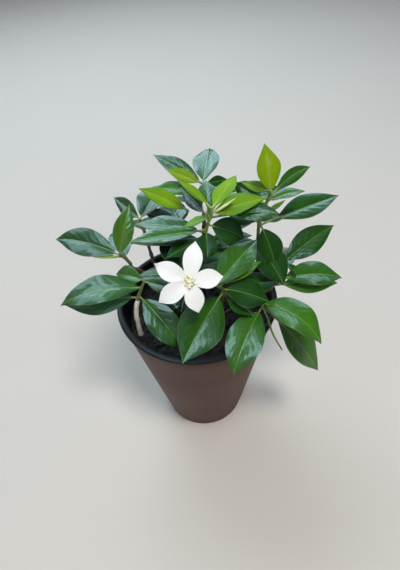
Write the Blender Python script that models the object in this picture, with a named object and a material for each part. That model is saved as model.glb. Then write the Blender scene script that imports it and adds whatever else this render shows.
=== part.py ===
"""A potted star jasmine: a brown cover pot, a black nursery pot, soil, woody stems, leafy shoots and a bloom.

Every size and place is in millimetres, and MM turns them into metres as each mesh is made.
The origin is the middle of the pot's flat base, +Z is up and the front of the plant faces -Y.
"""

import math
from collections import namedtuple

import bmesh
import bpy
from mathutils import Matrix, Vector

MM = 0.001
GAP = 0.3

# Cover pot
POT_SIDES = 48
POT_BASE_RADIUS = 33.7
POT_TOP_RADIUS = 58.2
POT_TOP = 129.8
POT_WALL = 1.6
POT_FLOOR = 2.5
POT_FOOT_ROUND = 3.0
POT_FOOT_STEPS = 4
SHARP_EDGE = 40

# Nursery pot, which hangs in the cover pot by its rolled rim
LINER_WALL = 1.2
LINER_FLOOR = 2.9
LINER_CLEARANCE = 0.5
RIM_RADIUS = 60.0
RIM_TOP = 135.0
RIM_DROP = 4.6
BEAD_START = -20
BEAD_TURN = 200
BEAD_STEPS = 8
DRAIN_HOLES = 4
DRAIN_RADIUS = 3.0
DRAIN_CIRCLE = 20.0

# Soil
SOIL_TOP = 117.0
SOIL_DOME = 2.0
SOIL_LUMP = 0.9
SOIL_SIDES = 24
SOIL_RINGS = (0.9, 0.72, 0.54, 0.36, 0.18)
SOIL_BORDER = 0.95
STEM_DEPTH = 11.0
STEM_BELOW = 3.0
STEM_ABOVE = 5.0
HOLE_ABOVE = 8.0

# Leaves
BLADE_THICKNESS = 0.65
MIDRIB_EXTRA = 0.35
BLADE_FOLD = 18
BLADE_FLATTEN = 0.55
STALK_WIDTH = 1.7
STALK_THICKNESS = 1.2
SMALL_LEAF = 36
BLADE_STATIONS = (0, 0.11, 0.26, 0.44, 0.62, 0.78, 0.9)
SMALL_STATIONS = (0, 0.15, 0.36, 0.6, 0.84)

# Stems
STEM_SIDES = 6
SHOOT_RADIUS = 1.35
TIP_RADIUS = 1.0
ROUTE_STEP = 5.0
LAST_LEAF = 0.95
BRANCH_FOOT = 0.95
BRANCH_TOP = 0.9

# Bloom
BLOOM_CENTRE = (-3.1, -36, 186.9)
BLOOM_HEADING = -90
BLOOM_RISE = 45
BLOOM_TUBE = 13.0
BLOOM_TUBE_RADIUS = 1.3
BLOOM_MOUTH_RADIUS = 2.2
PETAL_WIDTH = 12.0
PETAL_THICKNESS = 0.7
PETAL_SPANS = 6
PETAL_START = 0.6
PETAL_ARCH = 1.5
PETAL_CURL = 1.2
PETAL_CUP = 0.12
PETAL_TWIST = 0.5
THROAT_RADIUS = 3.6
THROAT_HEIGHT = 2.2
THROAT_LIFT = 3.0
BUD_FOOT = (10.4, 1.2, 209.9)
BUD_RADIUS = 1.3
BUD_LENGTH = 8.0
BUD_TILT = -8
PETALS = ((4, 21), (77, 25), (149, 24), (210, 23), (282, 20))

# One leaf: where along its shoot it grows, from 0 to 1, then the compass heading, the slope and the roll
# of its blade in degrees, its length and width, how many degrees it bends down to its tip, and its stalk.
Leaf = namedtuple("Leaf", "at heading rise roll length width droop stalk")
Shoot = namedtuple("Shoot", "route leaves")

SHOOTS = {
    "leafy_shoot_low_left": Shoot(
        [(-40, -20, 157), (-38, -20, 163), (-33, -17, 173)],
        [
            Leaf(0.62, 180, -12, -24, 59, 20, 52, 2),
            Leaf(0.15, 170, -12, -40, 54, 23, 15, 5),
            Leaf(0.25, -44, -40, 42, 46, 22, 30, 4),
            Leaf(1.00, 145, -15, -50, 24, 14, 25, 3),
            Leaf(0.90, -30, 5, 45, 24, 10, 15, 3),
        ],
    ),
    "leafy_shoot_left": Shoot(
        [(-44, 3, 170), (-47, 3, 176), (-50, 1, 181)],
        [
            Leaf(0.80, 154, -2, -40, 51, 20, 36, 5),
            Leaf(1.00, 50, 60, 40, 34, 14, 12, 2),
            Leaf(0.70, 176, 2, 0, 16, 4, 0, 4),
            Leaf(0.30, 105, -10, 0, 40, 18, 25, 6),
        ],
    ),
    "leafy_shoot_left_back": Shoot(
        [(-33, 27, 174), (-35, 29, 182), (-36, 30, 188)],
        [
            Leaf(1.00, 130, 8, -55, 28, 12, 15, 3),
            Leaf(1.00, 62, 8, 0, 36, 22, 25, 3),
            Leaf(0.20, 100, -28, 0, 46, 19, 30, 6),
            Leaf(0.50, 55, -25, 0, 48, 20, 30, 6),
        ],
    ),
    "leafy_shoot_bloom": Shoot(
        [(-4, -6, 160), (-5, -13, 169), (-5, -20, 173)],
        [
            Leaf(0.15, -112, -48, 0, 44, 19, 25, 6),
            Leaf(0.90, 104, 8, 0, 44, 24, 20, 4),
            Leaf(0.85, 14, -14, 0, 36, 20, 20, 4),
            Leaf(0.60, 34, -5, 0, 30, 20, 15, 4),
            Leaf(0.50, 168, -6, 0, 31, 17, 20, 5),
        ],
    ),
    "leafy_shoot_front": Shoot(
        [(18, -22, 158), (18, -27, 168), (13, -32, 178)],
        [
            Leaf(0.25, -130, -30, -28, 50, 30, 25, 5),
            Leaf(1.00, 47, 9, 10, 44, 21, 15, 2),
            Leaf(0.80, 33, 1, -5, 31, 12, 12, 5),
            Leaf(0.55, -12, -18, 25, 30, 20, 30, 3),
            Leaf(0.30, -38, -26, 10, 23, 15, 25, 3),
            Leaf(0.20, 16, -8, 10, 38, 19, 20, 5),
            Leaf(0.10, -30, -38, 0, 24, 14, 25, 6),
        ],
    ),
    "leafy_shoot_front_right": Shoot(
        [(34, -14, 144), (40, -22, 149), (46, -29, 153)],
        [
            Leaf(1.00, -37, -20, 0, 50, 24, 86, 1),
            Leaf(1.00, -124, -36, -8, 47, 25, 55, 8),
            Leaf(0.70, -24, -54, 20, 56, 24, 20, 22),
        ],
    ),
    "leafy_shoot_right": Shoot(
        [(54, -6, 146), (59, -8, 152), (65, 2, 163)],
        [
            Leaf(1.00, 22, 24, 39, 41, 19, 24, 2),
            Leaf(0.95, -25, -50, 0, 24, 11, 15, 3),
            Leaf(0.40, 8, -14, 15, 46, 21, 40, 5),
            Leaf(0.10, 1, -6, 45, 40, 16, 15, 8),
            Leaf(0.50, 75, -20, 0, 50, 21, 30, 6),
        ],
    ),
    "leafy_shoot_tall": Shoot(
        [(46, 8, 172), (45, 4, 184), (45, 3, 195), (47, 2, 207), (50, 1, 218)],
        [
            Leaf(0.50, 20, 3, 22, 47, 18, 5, 15),
            Leaf(0.55, -44, -66, 40, 29, 17, 20, 5),
            Leaf(0.93, 13, 2, 0, 23, 10, 30, 3),
            Leaf(0.97, 30, 12, 50, 28, 9, 44, 9),
            Leaf(0.88, 125, 2, -50, 27, 13, 5, 4),
            Leaf(0.55, 132, -14, -60, 26, 12, 15, 4),
            Leaf(0.08, -64, -24, 0, 32, 23, 20, 3),
            Leaf(0.20, 196, -8, 0, 38, 19, 20, 3),
        ],
    ),
    "leafy_shoot_top": Shoot(
        [(8, 10, 172), (9, 6, 185), (11, 3, 198), (14, 2, 208)],
        [
            Leaf(0.53, 160, -3, -5, 46, 17, 20, 6),
            Leaf(0.61, 190, 2, -2, 44, 16, 8, 7),
            Leaf(0.92, -22, 11, 20, 28, 13, 18, 18),
            Leaf(0.75, -10, -25, 40, 24, 18, 20, 3),
            Leaf(0.36, 170, -8, 0, 48, 16, 13, 6),
            Leaf(0.25, 20, -14, 0, 28, 14, 15, 10),
            Leaf(0.30, -20, 6, 40, 22, 10, 10, 3),
            Leaf(1.00, 175, -25, -5, 18, 8, 10, 2),
            Leaf(0.90, 125, 15, -50, 26, 11, 10, 6),
            Leaf(0.80, 88, 24, 0, 27, 15, 28, 5),
            Leaf(0.60, -92, -22, 0, 18, 14, 12, 2),
            Leaf(0.36, -150, -3, 0, 28, 17, 15, 3),
        ],
    ),
    "leafy_shoot_back_left": Shoot(
        [(-6, 25, 178), (-6, 23, 188), (-2, 19, 197)],
        [
            Leaf(0.40, 146, -5, -60, 28, 12, 10, 5),
            Leaf(0.20, 105, -15, 0, 48, 20, 25, 6),
        ],
    ),
    "leafy_shoot_back": Shoot(
        [(10, 40, 180), (11, 43, 192), (11, 44, 205)],
        [
            Leaf(1.00, 140, 11, -28, 43, 13, 12, 4),
            Leaf(1.00, 168, 22, -35, 24, 10, 4, 4),
            Leaf(1.00, 80, 3, -5, 41, 20, 25, 4),
            Leaf(0.95, 15, -5, 50, 15, 8, 5, 4),
            Leaf(0.70, 178, 8, -15, 32, 13, 10, 5),
            Leaf(0.20, 110, -25, 0, 52, 22, 30, 6),
            Leaf(0.40, 55, -22, 0, 50, 21, 30, 6),
        ],
    ),
    "leafy_shoot_back_right": Shoot(
        [(32, 36, 166), (36, 40, 178), (40, 42, 190)],
        [
            Leaf(0.90, 40, -18, 10, 50, 21, 20, 6),
            Leaf(0.60, 90, -22, 0, 50, 21, 25, 6),
            Leaf(0.30, 30, -24, 10, 48, 21, 30, 6),
            Leaf(0.15, 75, -42, 0, 52, 22, 30, 6),
        ],
    ),
}

YOUNG_TIPS = {
    "young_tip_tall": Shoot(
        [(50, 1, 218.3), (51, 0, 223)],
        [Leaf(1.00, 110, 68, 0, 28, 16, 5, 1), Leaf(0.90, 146, 2, -20, 18, 8, 10, 2)],
    ),
    "young_tip_side": Shoot(
        [(47.8, 3.9, 201.4), (49.5, 5, 202)],
        [Leaf(1.00, 32, 14, -20, 16, 6, 0, 1)],
    ),
    "young_tip_top": Shoot(
        [(14, 2, 208.3), (15, 2, 213)],
        [
            Leaf(1.00, 58, 6, -10, 33, 14, 10, 2),
            Leaf(0.10, -12, 40, -10, 19, 5, -22, 1),
            Leaf(0.10, -9, 19, 10, 34, 18, 10, 2),
            Leaf(0.70, 145, 28, 15, 24, 10, 15, 5),
        ],
    ),
    "young_tip_back_left": Shoot(
        [(-2, 19, 197.3), (-1, 19, 200)],
        [Leaf(1.00, 158, 18, -30, 34, 12, 15, 3)],
    ),
}

# Bare sprigs on three of the shoots: a route, then the first and the last radius.
# They are a thin hanging twig, the bloom's stalk, which ends in the calyx that holds it, and the bud's stalk.
SPRIGS = {
    "leafy_shoot_front_right": ([(44, -27, 152), (47, -36, 146), (50, -43, 137), (57, -45, 121)], 1.0, 0.45),
    "leafy_shoot_bloom": ([(-5, -18, 172.3), (-3.5, -24, 174.6), (-3.1, -26.6, 177.5)], 0.9, 1.6),
    "leafy_shoot_top": ([(13.4, 2.3, 205), (11.4, 1.6, 207.6), (10.5, 1.2, 209.5)], 0.7, 0.9),
}

# One woody stem: where it stands, its route above the soil, its foot and top radius, and its branches' routes
Wood = namedtuple("Wood", "stand route foot top branches")

WOOD = {
    "woody_stem_pale": Wood(
        (-44, -18),
        [(-43.6, -18.6, 140), (-41.6, -19.5, 151), (-40, -20, 156.7)],
        2.0,
        1.5,
        [],
    ),
    "woody_stem_left": Wood(
        (-16, 2),
        [(-24, 4, 142), (-36, 5, 158), (-43.5, 3, 166), (-44, 3, 169.7)],
        2.2,
        1.4,
        [[(-23, 4, 140), (-30, 20, 156), (-33, 26.5, 169), (-33, 27, 173.7)]],
    ),
    "woody_stem_centre": Wood(
        (5, 12),
        [(7, 13, 145), (8, 10, 166), (8, 10, 171.7)],
        2.4,
        1.5,
        [[(6, 12.5, 138), (0, 20, 156), (-6, 25, 173), (-6, 25, 177.7)]],
    ),
    "woody_stem_right": Wood(
        (24, 6),
        [(32, 9, 142), (45, 8.5, 164), (46, 8, 171.7)],
        2.4,
        1.5,
        [[(25, 6, 125), (40, 1, 131), (53, -6, 140), (54, -6, 145.7)]],
    ),
    "woody_stem_back": Wood(
        (9, 30),
        [(9, 37, 150), (10, 40, 174), (10, 40, 179.7)],
        2.2,
        1.5,
        [[(9, 32, 130), (20, 36, 146), (31.5, 36, 160), (32, 36, 165.7)]],
    ),
    "woody_stem_front": Wood(
        (12, -14),
        [(15, -19, 142), (18, -22, 153), (18, -22, 157.7)],
        2.2,
        1.5,
        [
            [(12, -15, 125), (23, -14, 131), (33, -13.8, 139), (34, -14, 143.7)],
            [(12.5, -16, 130), (3, -10, 144), (-3.9, -6, 155), (-4, -6, 159.7)],
        ],
    ),
}


def material(name, color, roughness, coat=0.0):
    """A Principled material of one colour and roughness."""
    made = bpy.data.materials.new(name)
    made.use_nodes = True
    shader = made.node_tree.nodes["Principled BSDF"]
    shader.inputs["Base Color"].default_value = (*color, 1.0)
    shader.inputs["Roughness"].default_value = roughness
    shader.inputs["Coat Weight"].default_value = coat
    return made


def add_object(name, mesh, finish):
    """Links a mesh to the scene as one node with one material."""
    piece = bpy.data.objects.new(name, mesh)
    bpy.context.scene.collection.objects.link(piece)
    mesh.materials.clear()
    mesh.materials.append(finish)
    return piece


def mesh_from(points, faces):
    """A mesh of these points, given in millimetres, and faces."""
    mesh = bpy.data.meshes.new("shape")
    mesh.from_pydata([tuple(c * MM for c in point) for point in points], [], faces)
    mesh.update()
    return mesh


def smooth_route(points, step=ROUTE_STEP):
    """Points along a smooth curve through the route, about one step apart."""
    knots = [Vector(point) for point in points]
    ends = [knots[0] * 2 - knots[1], *knots, knots[-1] * 2 - knots[-2]]
    route = []
    for before, start, end, after in zip(ends, ends[1:], ends[2:], ends[3:]):
        count = max(1, round((end - start).length / step))
        for index in range(count):
            t = index / count
            pull = (end - before) * (t - 2 * t * t + t**3) / 2 + (after - start) * (t**3 - t * t) / 2
            route.append(start * (1 - 3 * t * t + 2 * t**3) + end * (3 * t * t - 2 * t**3) + pull)
    route.append(knots[-1])
    return route


def point_along(route, share):
    """The point at a share of a route's length."""
    points = smooth_route(route)
    spans = [(b - a).length for a, b in zip(points, points[1:])]
    left = share * sum(spans)
    for start, end, span in zip(points, points[1:], spans):
        if left <= span:
            return start.lerp(end, left / span)
        left -= span
    return points[-1]


def tube_mesh(route, start_radius, end_radius, sides=STEM_SIDES, level_ends=True):
    """A tapered tube along a smooth route, without twist. Its closed ends lie level unless told otherwise."""
    points = smooth_route(route)
    last = len(points) - 1
    across = Vector((0.37, -0.93, 0.02))
    rings = []
    for index, point in enumerate(points):
        way = (points[min(index + 1, last)] - points[max(index - 1, 0)]).normalized()
        if level_ends and index in (0, last):
            way = Vector((0, 0, 1))
        across = (across - way * across.dot(way)).normalized()
        third = way.cross(across)
        radius = start_radius + (end_radius - start_radius) * index / last
        turns = [math.tau * side / sides for side in range(sides)]
        rings.append([point + (across * math.cos(turn) + third * math.sin(turn)) * radius for turn in turns])
    faces = [tuple(reversed(range(sides))), tuple(last * sides + side for side in range(sides))]
    for index in range(last):
        for side in range(sides):
            a, b = index * sides + side, index * sides + (side + 1) % sides
            faces.append((a, b, b + sides, a + sides))
    return mesh_from([point for ring in rings for point in ring], faces)


def blade_width(share):
    """The half width of a leaf's outline at a share of its length. The tip is drawn out."""
    return math.sin(math.pi * share**0.9) ** 0.85 * (1 - 0.15 * share**3) * (1 - 0.4 * share**8)


def petal_width(share):
    """The half width of a petal's outline, narrow at the throat and broad past the middle."""
    return (0.22 + 0.78 * math.sin(math.pi * share**1.15) ** 0.8) * (1 - share**9)


def leaf_frame(leaf, base, share):
    """The centre, the right-hand side and the upper side of a blade at a share of its length."""
    heading, rise, roll, droop = (math.radians(a) for a in (leaf.heading, leaf.rise, leaf.roll, leaf.droop))
    flat = Vector((math.cos(heading), math.sin(heading), 0))
    side = Vector((math.sin(heading), -math.cos(heading), 0))
    first = rise + droop / 2
    slope = first - droop * share
    forward = leaf.length * share * math.cos(rise)
    height = leaf.length * share * math.sin(rise)
    if droop:
        forward = leaf.length * (math.sin(first) - math.sin(slope)) / droop
        height = leaf.length * (math.cos(slope) - math.cos(first)) / droop
    centre = base + flat * forward + Vector((0, 0, height))
    upper = Vector((0, 0, math.cos(slope))) - flat * math.sin(slope)
    rolled_side = side * math.cos(roll) - upper * math.sin(roll)
    rolled_upper = upper * math.cos(roll) + side * math.sin(roll)
    return centre, rolled_side, rolled_upper


def plate_mesh(rows, tip):
    """A closed solid of rows of (upper, lower) points from left to right, which meet at the tip's two points.

    Both faces are split into the same triangles, so a bent blade never crosses itself.
    """
    columns = len(rows[0])
    points = [p for row in rows for pair in row for p in pair] + list(tip)
    faces = []

    def upper(row, column):
        return 2 * (row * columns + column)

    for row in range(len(rows) - 1):
        for column in range(columns - 1):
            a, b = upper(row, column), upper(row, column + 1)
            d, c = upper(row + 1, column), upper(row + 1, column + 1)
            pair = [(a, b, c), (a, c, d)] if column < columns // 2 else [(a, b, d), (b, c, d)]
            faces += pair
            faces += [(r + 1, q + 1, p + 1) for p, q, r in pair]
        a, d = upper(row, 0), upper(row + 1, 0)
        faces += [(a, d, d + 1), (a, d + 1, a + 1)]
        a, d = upper(row, columns - 1), upper(row + 1, columns - 1)
        faces += [(a, a + 1, d + 1), (a, d + 1, d)]
    last = len(rows) - 1
    point = len(points) - 2
    for column in range(columns - 1):
        a, b = upper(last, column), upper(last, column + 1)
        faces += [(a, b, point), (b + 1, a + 1, point + 1)]
        a, b = upper(0, column), upper(0, column + 1)
        faces += [(a, a + 1, b + 1), (a, b + 1, b)]
    a, b = upper(last, 0), upper(last, columns - 1)
    faces += [(a, point, point + 1), (a, point + 1, a + 1)]
    faces += [(b, b + 1, point + 1), (b, point + 1, point)]
    return mesh_from(points, faces)


def leaf_mesh(leaf, root):
    """A folded, drooping blade with its stalk, from the stem's middle at root."""
    stations = BLADE_STATIONS if leaf.length > SMALL_LEAF else SMALL_STATIONS
    columns = 5 if leaf.length > SMALL_LEAF else 3
    slope = math.radians(leaf.rise + leaf.droop / 2)
    heading = math.radians(leaf.heading)
    way = Vector((math.cos(slope) * math.cos(heading), math.cos(slope) * math.sin(heading), math.sin(slope)))
    base = root + way * leaf.stalk
    lift = math.tan(math.radians(BLADE_FOLD))
    rows = []
    for index, share in enumerate((0, *stations)):
        centre, side, upper = leaf_frame(leaf, base, share)
        if index == 0:
            centre = root
        half = max(leaf.width / 2 * blade_width(share), STALK_WIDTH / 2)
        row = []
        for column in range(columns):
            across = 2 * column / (columns - 1) - 1
            flap = half * lift * (abs(across) - BLADE_FLATTEN * across * across) if share else 0
            thick = BLADE_THICKNESS + MIDRIB_EXTRA * (1 - abs(across)) if share else STALK_THICKNESS
            middle = centre + side * (half * across) + upper * flap
            row.append((middle + upper * thick / 2, middle - upper * thick / 2))
        rows.append(row)
    centre, _, upper = leaf_frame(leaf, base, 1)
    tip = (centre + upper * BLADE_THICKNESS / 2, centre - upper * BLADE_THICKNESS / 2)
    return plate_mesh(rows, tip)


def fuse(name, meshes, finish):
    """Joins solids that grow together into one node, by one union on a collection."""
    body = add_object(name, meshes[0], finish)
    if len(meshes) == 1:
        return body
    others = bpy.data.collections.new("parts")
    bpy.context.scene.collection.children.link(others)
    for index, mesh in enumerate(meshes[1:]):
        part = bpy.data.objects.new(f"part_{index}", mesh)
        others.objects.link(part)
    union = body.modifiers.new("union", "BOOLEAN")
    union.operation = "UNION"
    union.operand_type = "COLLECTION"
    union.collection = others
    union.solver = "MANIFOLD"
    bpy.context.view_layer.update()
    joined = bpy.data.meshes.new_from_object(body.evaluated_get(bpy.context.evaluated_depsgraph_get()))
    body.modifiers.clear()
    body.data = joined
    joined.materials.clear()
    joined.materials.append(finish)
    for part in list(others.objects):
        bpy.data.objects.remove(part)
    bpy.data.collections.remove(others)
    return body


def turned_mesh(profile, sides=POT_SIDES):
    """A solid turned round the Z axis from a closed profile of (radius, height)."""
    form = bmesh.new()
    rim = [form.verts.new((radius * MM, 0, height * MM)) for radius, height in profile]
    edges = [form.edges.new(pair) for pair in zip(rim, rim[1:])]
    if profile[0][0] > 0:
        edges.append(form.edges.new((rim[-1], rim[0])))
    bmesh.ops.spin(form, geom=rim + edges, axis=(0, 0, 1), cent=(0, 0, 0), steps=sides, angle=math.tau)
    bmesh.ops.remove_doubles(form, verts=form.verts, dist=1e-6)
    bmesh.ops.recalc_face_normals(form, faces=form.faces)
    mesh = bpy.data.meshes.new("turned")
    form.to_mesh(mesh)
    form.free()
    mesh.shade_smooth()
    mesh.set_sharp_from_angle(angle=math.radians(SHARP_EDGE))
    return mesh


def ball_mesh(shape):
    """A ball of unit radius, which the matrix sizes, turns and places."""
    form = bmesh.new()
    bmesh.ops.create_icosphere(form, subdivisions=2, radius=1, matrix=shape)
    mesh = bpy.data.meshes.new("ball")
    form.to_mesh(mesh)
    form.free()
    mesh.shade_smooth()
    return mesh


def cut(body, cutters):
    """Takes the cutters out of a body and removes them."""
    for cutter in cutters:
        cutter.hide_render = True
        cutter.display_type = "WIRE"
        hole = body.modifiers.new("hole", "BOOLEAN")
        hole.operation = "DIFFERENCE"
        hole.object = cutter
    bpy.context.view_layer.update()
    finish = body.data.materials[0]
    cut_mesh = bpy.data.meshes.new_from_object(body.evaluated_get(bpy.context.evaluated_depsgraph_get()))
    body.modifiers.clear()
    body.data = cut_mesh
    cut_mesh.materials.clear()
    cut_mesh.materials.append(finish)
    for cutter in cutters:
        bpy.data.objects.remove(cutter)


def post(x, y, radius, low, high, sides=12):
    """An upright cylinder, used as a cutter."""
    bpy.ops.mesh.primitive_cylinder_add(
        vertices=sides,
        radius=radius * MM,
        depth=(high - low) * MM,
        location=(x * MM, y * MM, (low + high) / 2 * MM),
    )
    return bpy.context.object


def pot_radius(height):
    """The cover pot's outer radius at a height."""
    return POT_BASE_RADIUS + (POT_TOP_RADIUS - POT_BASE_RADIUS) * height / POT_TOP


def cover_pot(finish):
    """The brown tapered pot: a plain shell with a rounded foot and a flat base."""
    foot = [(0, 0)]
    for step in range(POT_FOOT_STEPS + 1):
        turn = math.radians(90 * step / POT_FOOT_STEPS)
        radius = POT_BASE_RADIUS - POT_FOOT_ROUND + POT_FOOT_ROUND * math.sin(turn)
        foot.append((radius, POT_FOOT_ROUND * (1 - math.cos(turn))))
    outer = [(pot_radius(height), height) for height in (POT_TOP / 2, POT_TOP)]
    inner = [(pot_radius(height) - POT_WALL, height) for height in (POT_TOP, POT_FLOOR)] + [(0, POT_FLOOR)]
    return add_object("cover_pot", turned_mesh(foot + outer + inner), finish)


def liner_radius(height):
    """The nursery pot's outer radius at a height."""
    return pot_radius(height) - POT_WALL - LINER_CLEARANCE


def nursery_pot(finish):
    """The black pot inside, with a rolled rim that laps over the cover pot and drain holes in its floor."""
    wall_top = RIM_TOP - RIM_DROP
    inner_lip = liner_radius(wall_top) - LINER_WALL
    bead_radius = (RIM_RADIUS - inner_lip) / 2
    bead = []
    for step in range(BEAD_STEPS + 1):
        turn = math.radians(BEAD_START + BEAD_TURN * step / BEAD_STEPS)
        radius = RIM_RADIUS - bead_radius + bead_radius * math.cos(turn)
        bead.append((radius, RIM_TOP - RIM_DROP / 2 + RIM_DROP / 2 * math.sin(turn)))
    outer = [(0, LINER_FLOOR), (liner_radius(LINER_FLOOR), LINER_FLOOR), (liner_radius(wall_top), wall_top)]
    floor = LINER_FLOOR + LINER_WALL
    inner = [(inner_lip, wall_top), (liner_radius(floor) - LINER_WALL, floor), (0, floor)]
    lap = [(RIM_RADIUS - LINER_WALL, wall_top)]
    pot = add_object("nursery_pot", turned_mesh(outer + lap + bead + inner), finish)
    holes = []
    for index in range(DRAIN_HOLES):
        turn = math.tau * index / DRAIN_HOLES
        x, y = DRAIN_CIRCLE * math.cos(turn), DRAIN_CIRCLE * math.sin(turn)
        holes.append(post(x, y, DRAIN_RADIUS, LINER_FLOOR - 1, floor + 1))
    cut(pot, holes)
    return pot


def soil(finish):
    """The dark potting soil, slightly domed and lumpy, with a plain hole for each woody stem."""
    floor = LINER_FLOOR + LINER_WALL + GAP
    edge = liner_radius(SOIL_TOP) - LINER_WALL - GAP
    rings = [(0, floor), (liner_radius(floor) - LINER_WALL - GAP, floor), (edge, SOIL_TOP)]
    rings += [(edge * share, SOIL_TOP) for share in SOIL_RINGS]
    mesh = turned_mesh(rings + [(0, SOIL_TOP)], sides=SOIL_SIDES)
    for vertex in mesh.vertices:
        x, y, z = vertex.co / MM
        if z < SOIL_TOP - 1:
            continue
        share = math.hypot(x, y) / edge
        lump = math.sin(x * 0.35 + 1) * math.cos(y * 0.41) + 0.6 * math.sin(x * 0.9 - y * 0.7)
        if share < SOIL_BORDER:
            vertex.co.z += (SOIL_DOME * (1 - share * share) + SOIL_LUMP * lump) * MM
    form = bmesh.new()
    form.from_mesh(mesh)
    bmesh.ops.triangulate(form, faces=form.faces)
    form.to_mesh(mesh)
    form.free()
    body = add_object("soil", mesh, finish)
    holes = []
    for wood in WOOD.values():
        radius = wood.foot + 2 * GAP
        holes.append(post(*wood.stand, radius, SOIL_TOP - STEM_DEPTH - GAP, SOIL_TOP + HOLE_ABOVE))
    cut(body, holes)
    return body


def woody_stem(name, wood, finish):
    """A bare woody stem with its side branches, which stands in its hole in the soil."""
    x, y = wood.stand
    foot = [(x, y, SOIL_TOP + height) for height in (-STEM_DEPTH, -STEM_BELOW, STEM_ABOVE)]
    meshes = [tube_mesh(foot + wood.route, wood.foot, wood.top)]
    for branch in wood.branches:
        meshes.append(tube_mesh(branch, wood.top * BRANCH_FOOT, wood.top * BRANCH_TOP))
    return fuse(name, meshes, finish)


def leafy_shoot(name, shoot, finish, radius=SHOOT_RADIUS):
    """A green shoot with its leaves fused to it, and its bare sprig if it has one."""
    meshes = [tube_mesh(shoot.route, radius, TIP_RADIUS)]
    for leaf in shoot.leaves:
        meshes.append(leaf_mesh(leaf, point_along(shoot.route, min(leaf.at, LAST_LEAF))))
    if name in SPRIGS:
        meshes.append(tube_mesh(*SPRIGS[name], level_ends=False))
    return fuse(name, meshes, finish)


def bloom_axes():
    """The bloom's centre, and its own right, up and facing directions."""
    heading, rise = math.radians(BLOOM_HEADING), math.radians(BLOOM_RISE)
    facing = Vector((math.cos(rise) * math.cos(heading), math.cos(rise) * math.sin(heading), math.sin(rise)))
    right = Vector((-math.sin(heading), math.cos(heading), 0))
    return Vector(BLOOM_CENTRE), right, facing.cross(right), facing


def petal_mesh(angle, length):
    """One broad pointed petal, which curls back a little towards its tip."""
    centre, right, up, facing = bloom_axes()
    turn = math.radians(angle)
    out = right * math.cos(turn) + up * math.sin(turn)
    side = out.cross(facing)
    rows = []
    for index in range(PETAL_SPANS):
        share = index / PETAL_SPANS
        half = PETAL_WIDTH / 2 * petal_width(share)
        lift = PETAL_ARCH * math.sin(math.pi * share) - PETAL_CURL * share * share
        row = []
        for column in range(5):
            across = column / 2 - 1
            cup = PETAL_CUP * half * across * across + PETAL_TWIST * across * share
            reach = PETAL_START + length * share
            middle = centre + out * reach + side * (half * across) + facing * (lift + cup)
            row.append((middle + facing * PETAL_THICKNESS / 2, middle - facing * PETAL_THICKNESS / 2))
        rows.append(row)
    end = centre + out * length - facing * PETAL_CURL
    return plate_mesh(rows, (end + facing * PETAL_THICKNESS / 2, end - facing * PETAL_THICKNESS / 2))


def bloom(petal_finish, throat_finish):
    """The open flower: five petals fused to a slim tube, and the crumpled cream throat in front of it."""
    centre, _, _, facing = bloom_axes()
    route = [centre - facing * BLOOM_TUBE, centre + facing * PETAL_THICKNESS]
    tube = tube_mesh(route, BLOOM_TUBE_RADIUS, BLOOM_MOUTH_RADIUS, level_ends=False)
    fuse("bloom_petals", [tube] + [petal_mesh(angle, length) for angle, length in PETALS], petal_finish)
    turn = facing.to_track_quat("Z", "Y").to_matrix().to_4x4()
    size = Matrix.Diagonal((THROAT_RADIUS * MM, THROAT_RADIUS * MM, THROAT_HEIGHT * MM, 1))
    place = Matrix.Translation((centre + facing * THROAT_LIFT) * MM)
    add_object("bloom_throat", ball_mesh(place @ turn @ size), throat_finish)


def flower_bud(finish):
    """The slim closed bud near the plant's top."""
    turn = Matrix.Rotation(math.radians(BUD_TILT), 4, "Y")
    size = Matrix.Diagonal((BUD_RADIUS * MM, BUD_RADIUS * MM, BUD_LENGTH / 2 * MM, 1))
    middle = Vector(BUD_FOOT) + turn @ Vector((0, 0, BUD_LENGTH / 2))
    add_object("flower_bud", ball_mesh(Matrix.Translation(middle * MM) @ turn @ size), finish)


def clear_scene():
    """Removes what is in the scene."""
    for piece in list(bpy.data.objects):
        bpy.data.objects.remove(piece)


def main():
    clear_scene()
    green = material("leaf_green", (0.045, 0.145, 0.03), 0.32, coat=0.3)
    lime = material("young_leaf_green", (0.29, 0.42, 0.03), 0.35)
    bark = material("bark_brown", (0.13, 0.10, 0.05), 0.7)
    pale = material("bark_pale", (0.62, 0.50, 0.39), 0.75)
    cover_pot(material("pot_brown", (0.10, 0.055, 0.042), 0.5))
    nursery_pot(material("pot_black", (0.012, 0.013, 0.017), 0.35))
    soil(material("soil_dark", (0.02, 0.014, 0.01), 0.95))
    for name, wood in WOOD.items():
        woody_stem(name, wood, pale if name.endswith("pale") else bark)
    for name, shoot in SHOOTS.items():
        leafy_shoot(name, shoot, green)
    for name, shoot in YOUNG_TIPS.items():
        leafy_shoot(name, shoot, lime, radius=TIP_RADIUS)
    petal = material("petal_white", (0.86, 0.87, 0.85), 0.5)
    bloom(petal, material("throat_cream", (0.80, 0.74, 0.42), 0.6))
    flower_bud(material("bud_white", (0.82, 0.86, 0.74), 0.5))


if __name__ == "__main__":
    main()
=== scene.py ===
# %% [markdown]
# # A potted star jasmine, dressed for the camera
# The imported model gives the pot, the soil, the stems and every leaf as plain solids. This lesson keeps
# each of them in its place and gives it the fine form and the finish that it has on the real plant.
# Every cell first says what the piece is, how it could be made and why this way was chosen.

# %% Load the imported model
import random
from collections import namedtuple
from math import atan2, copysign, cos, exp, hypot, pi, radians, sin, sqrt, tan, tau

import bpy
from mathutils import Matrix, Vector


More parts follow.
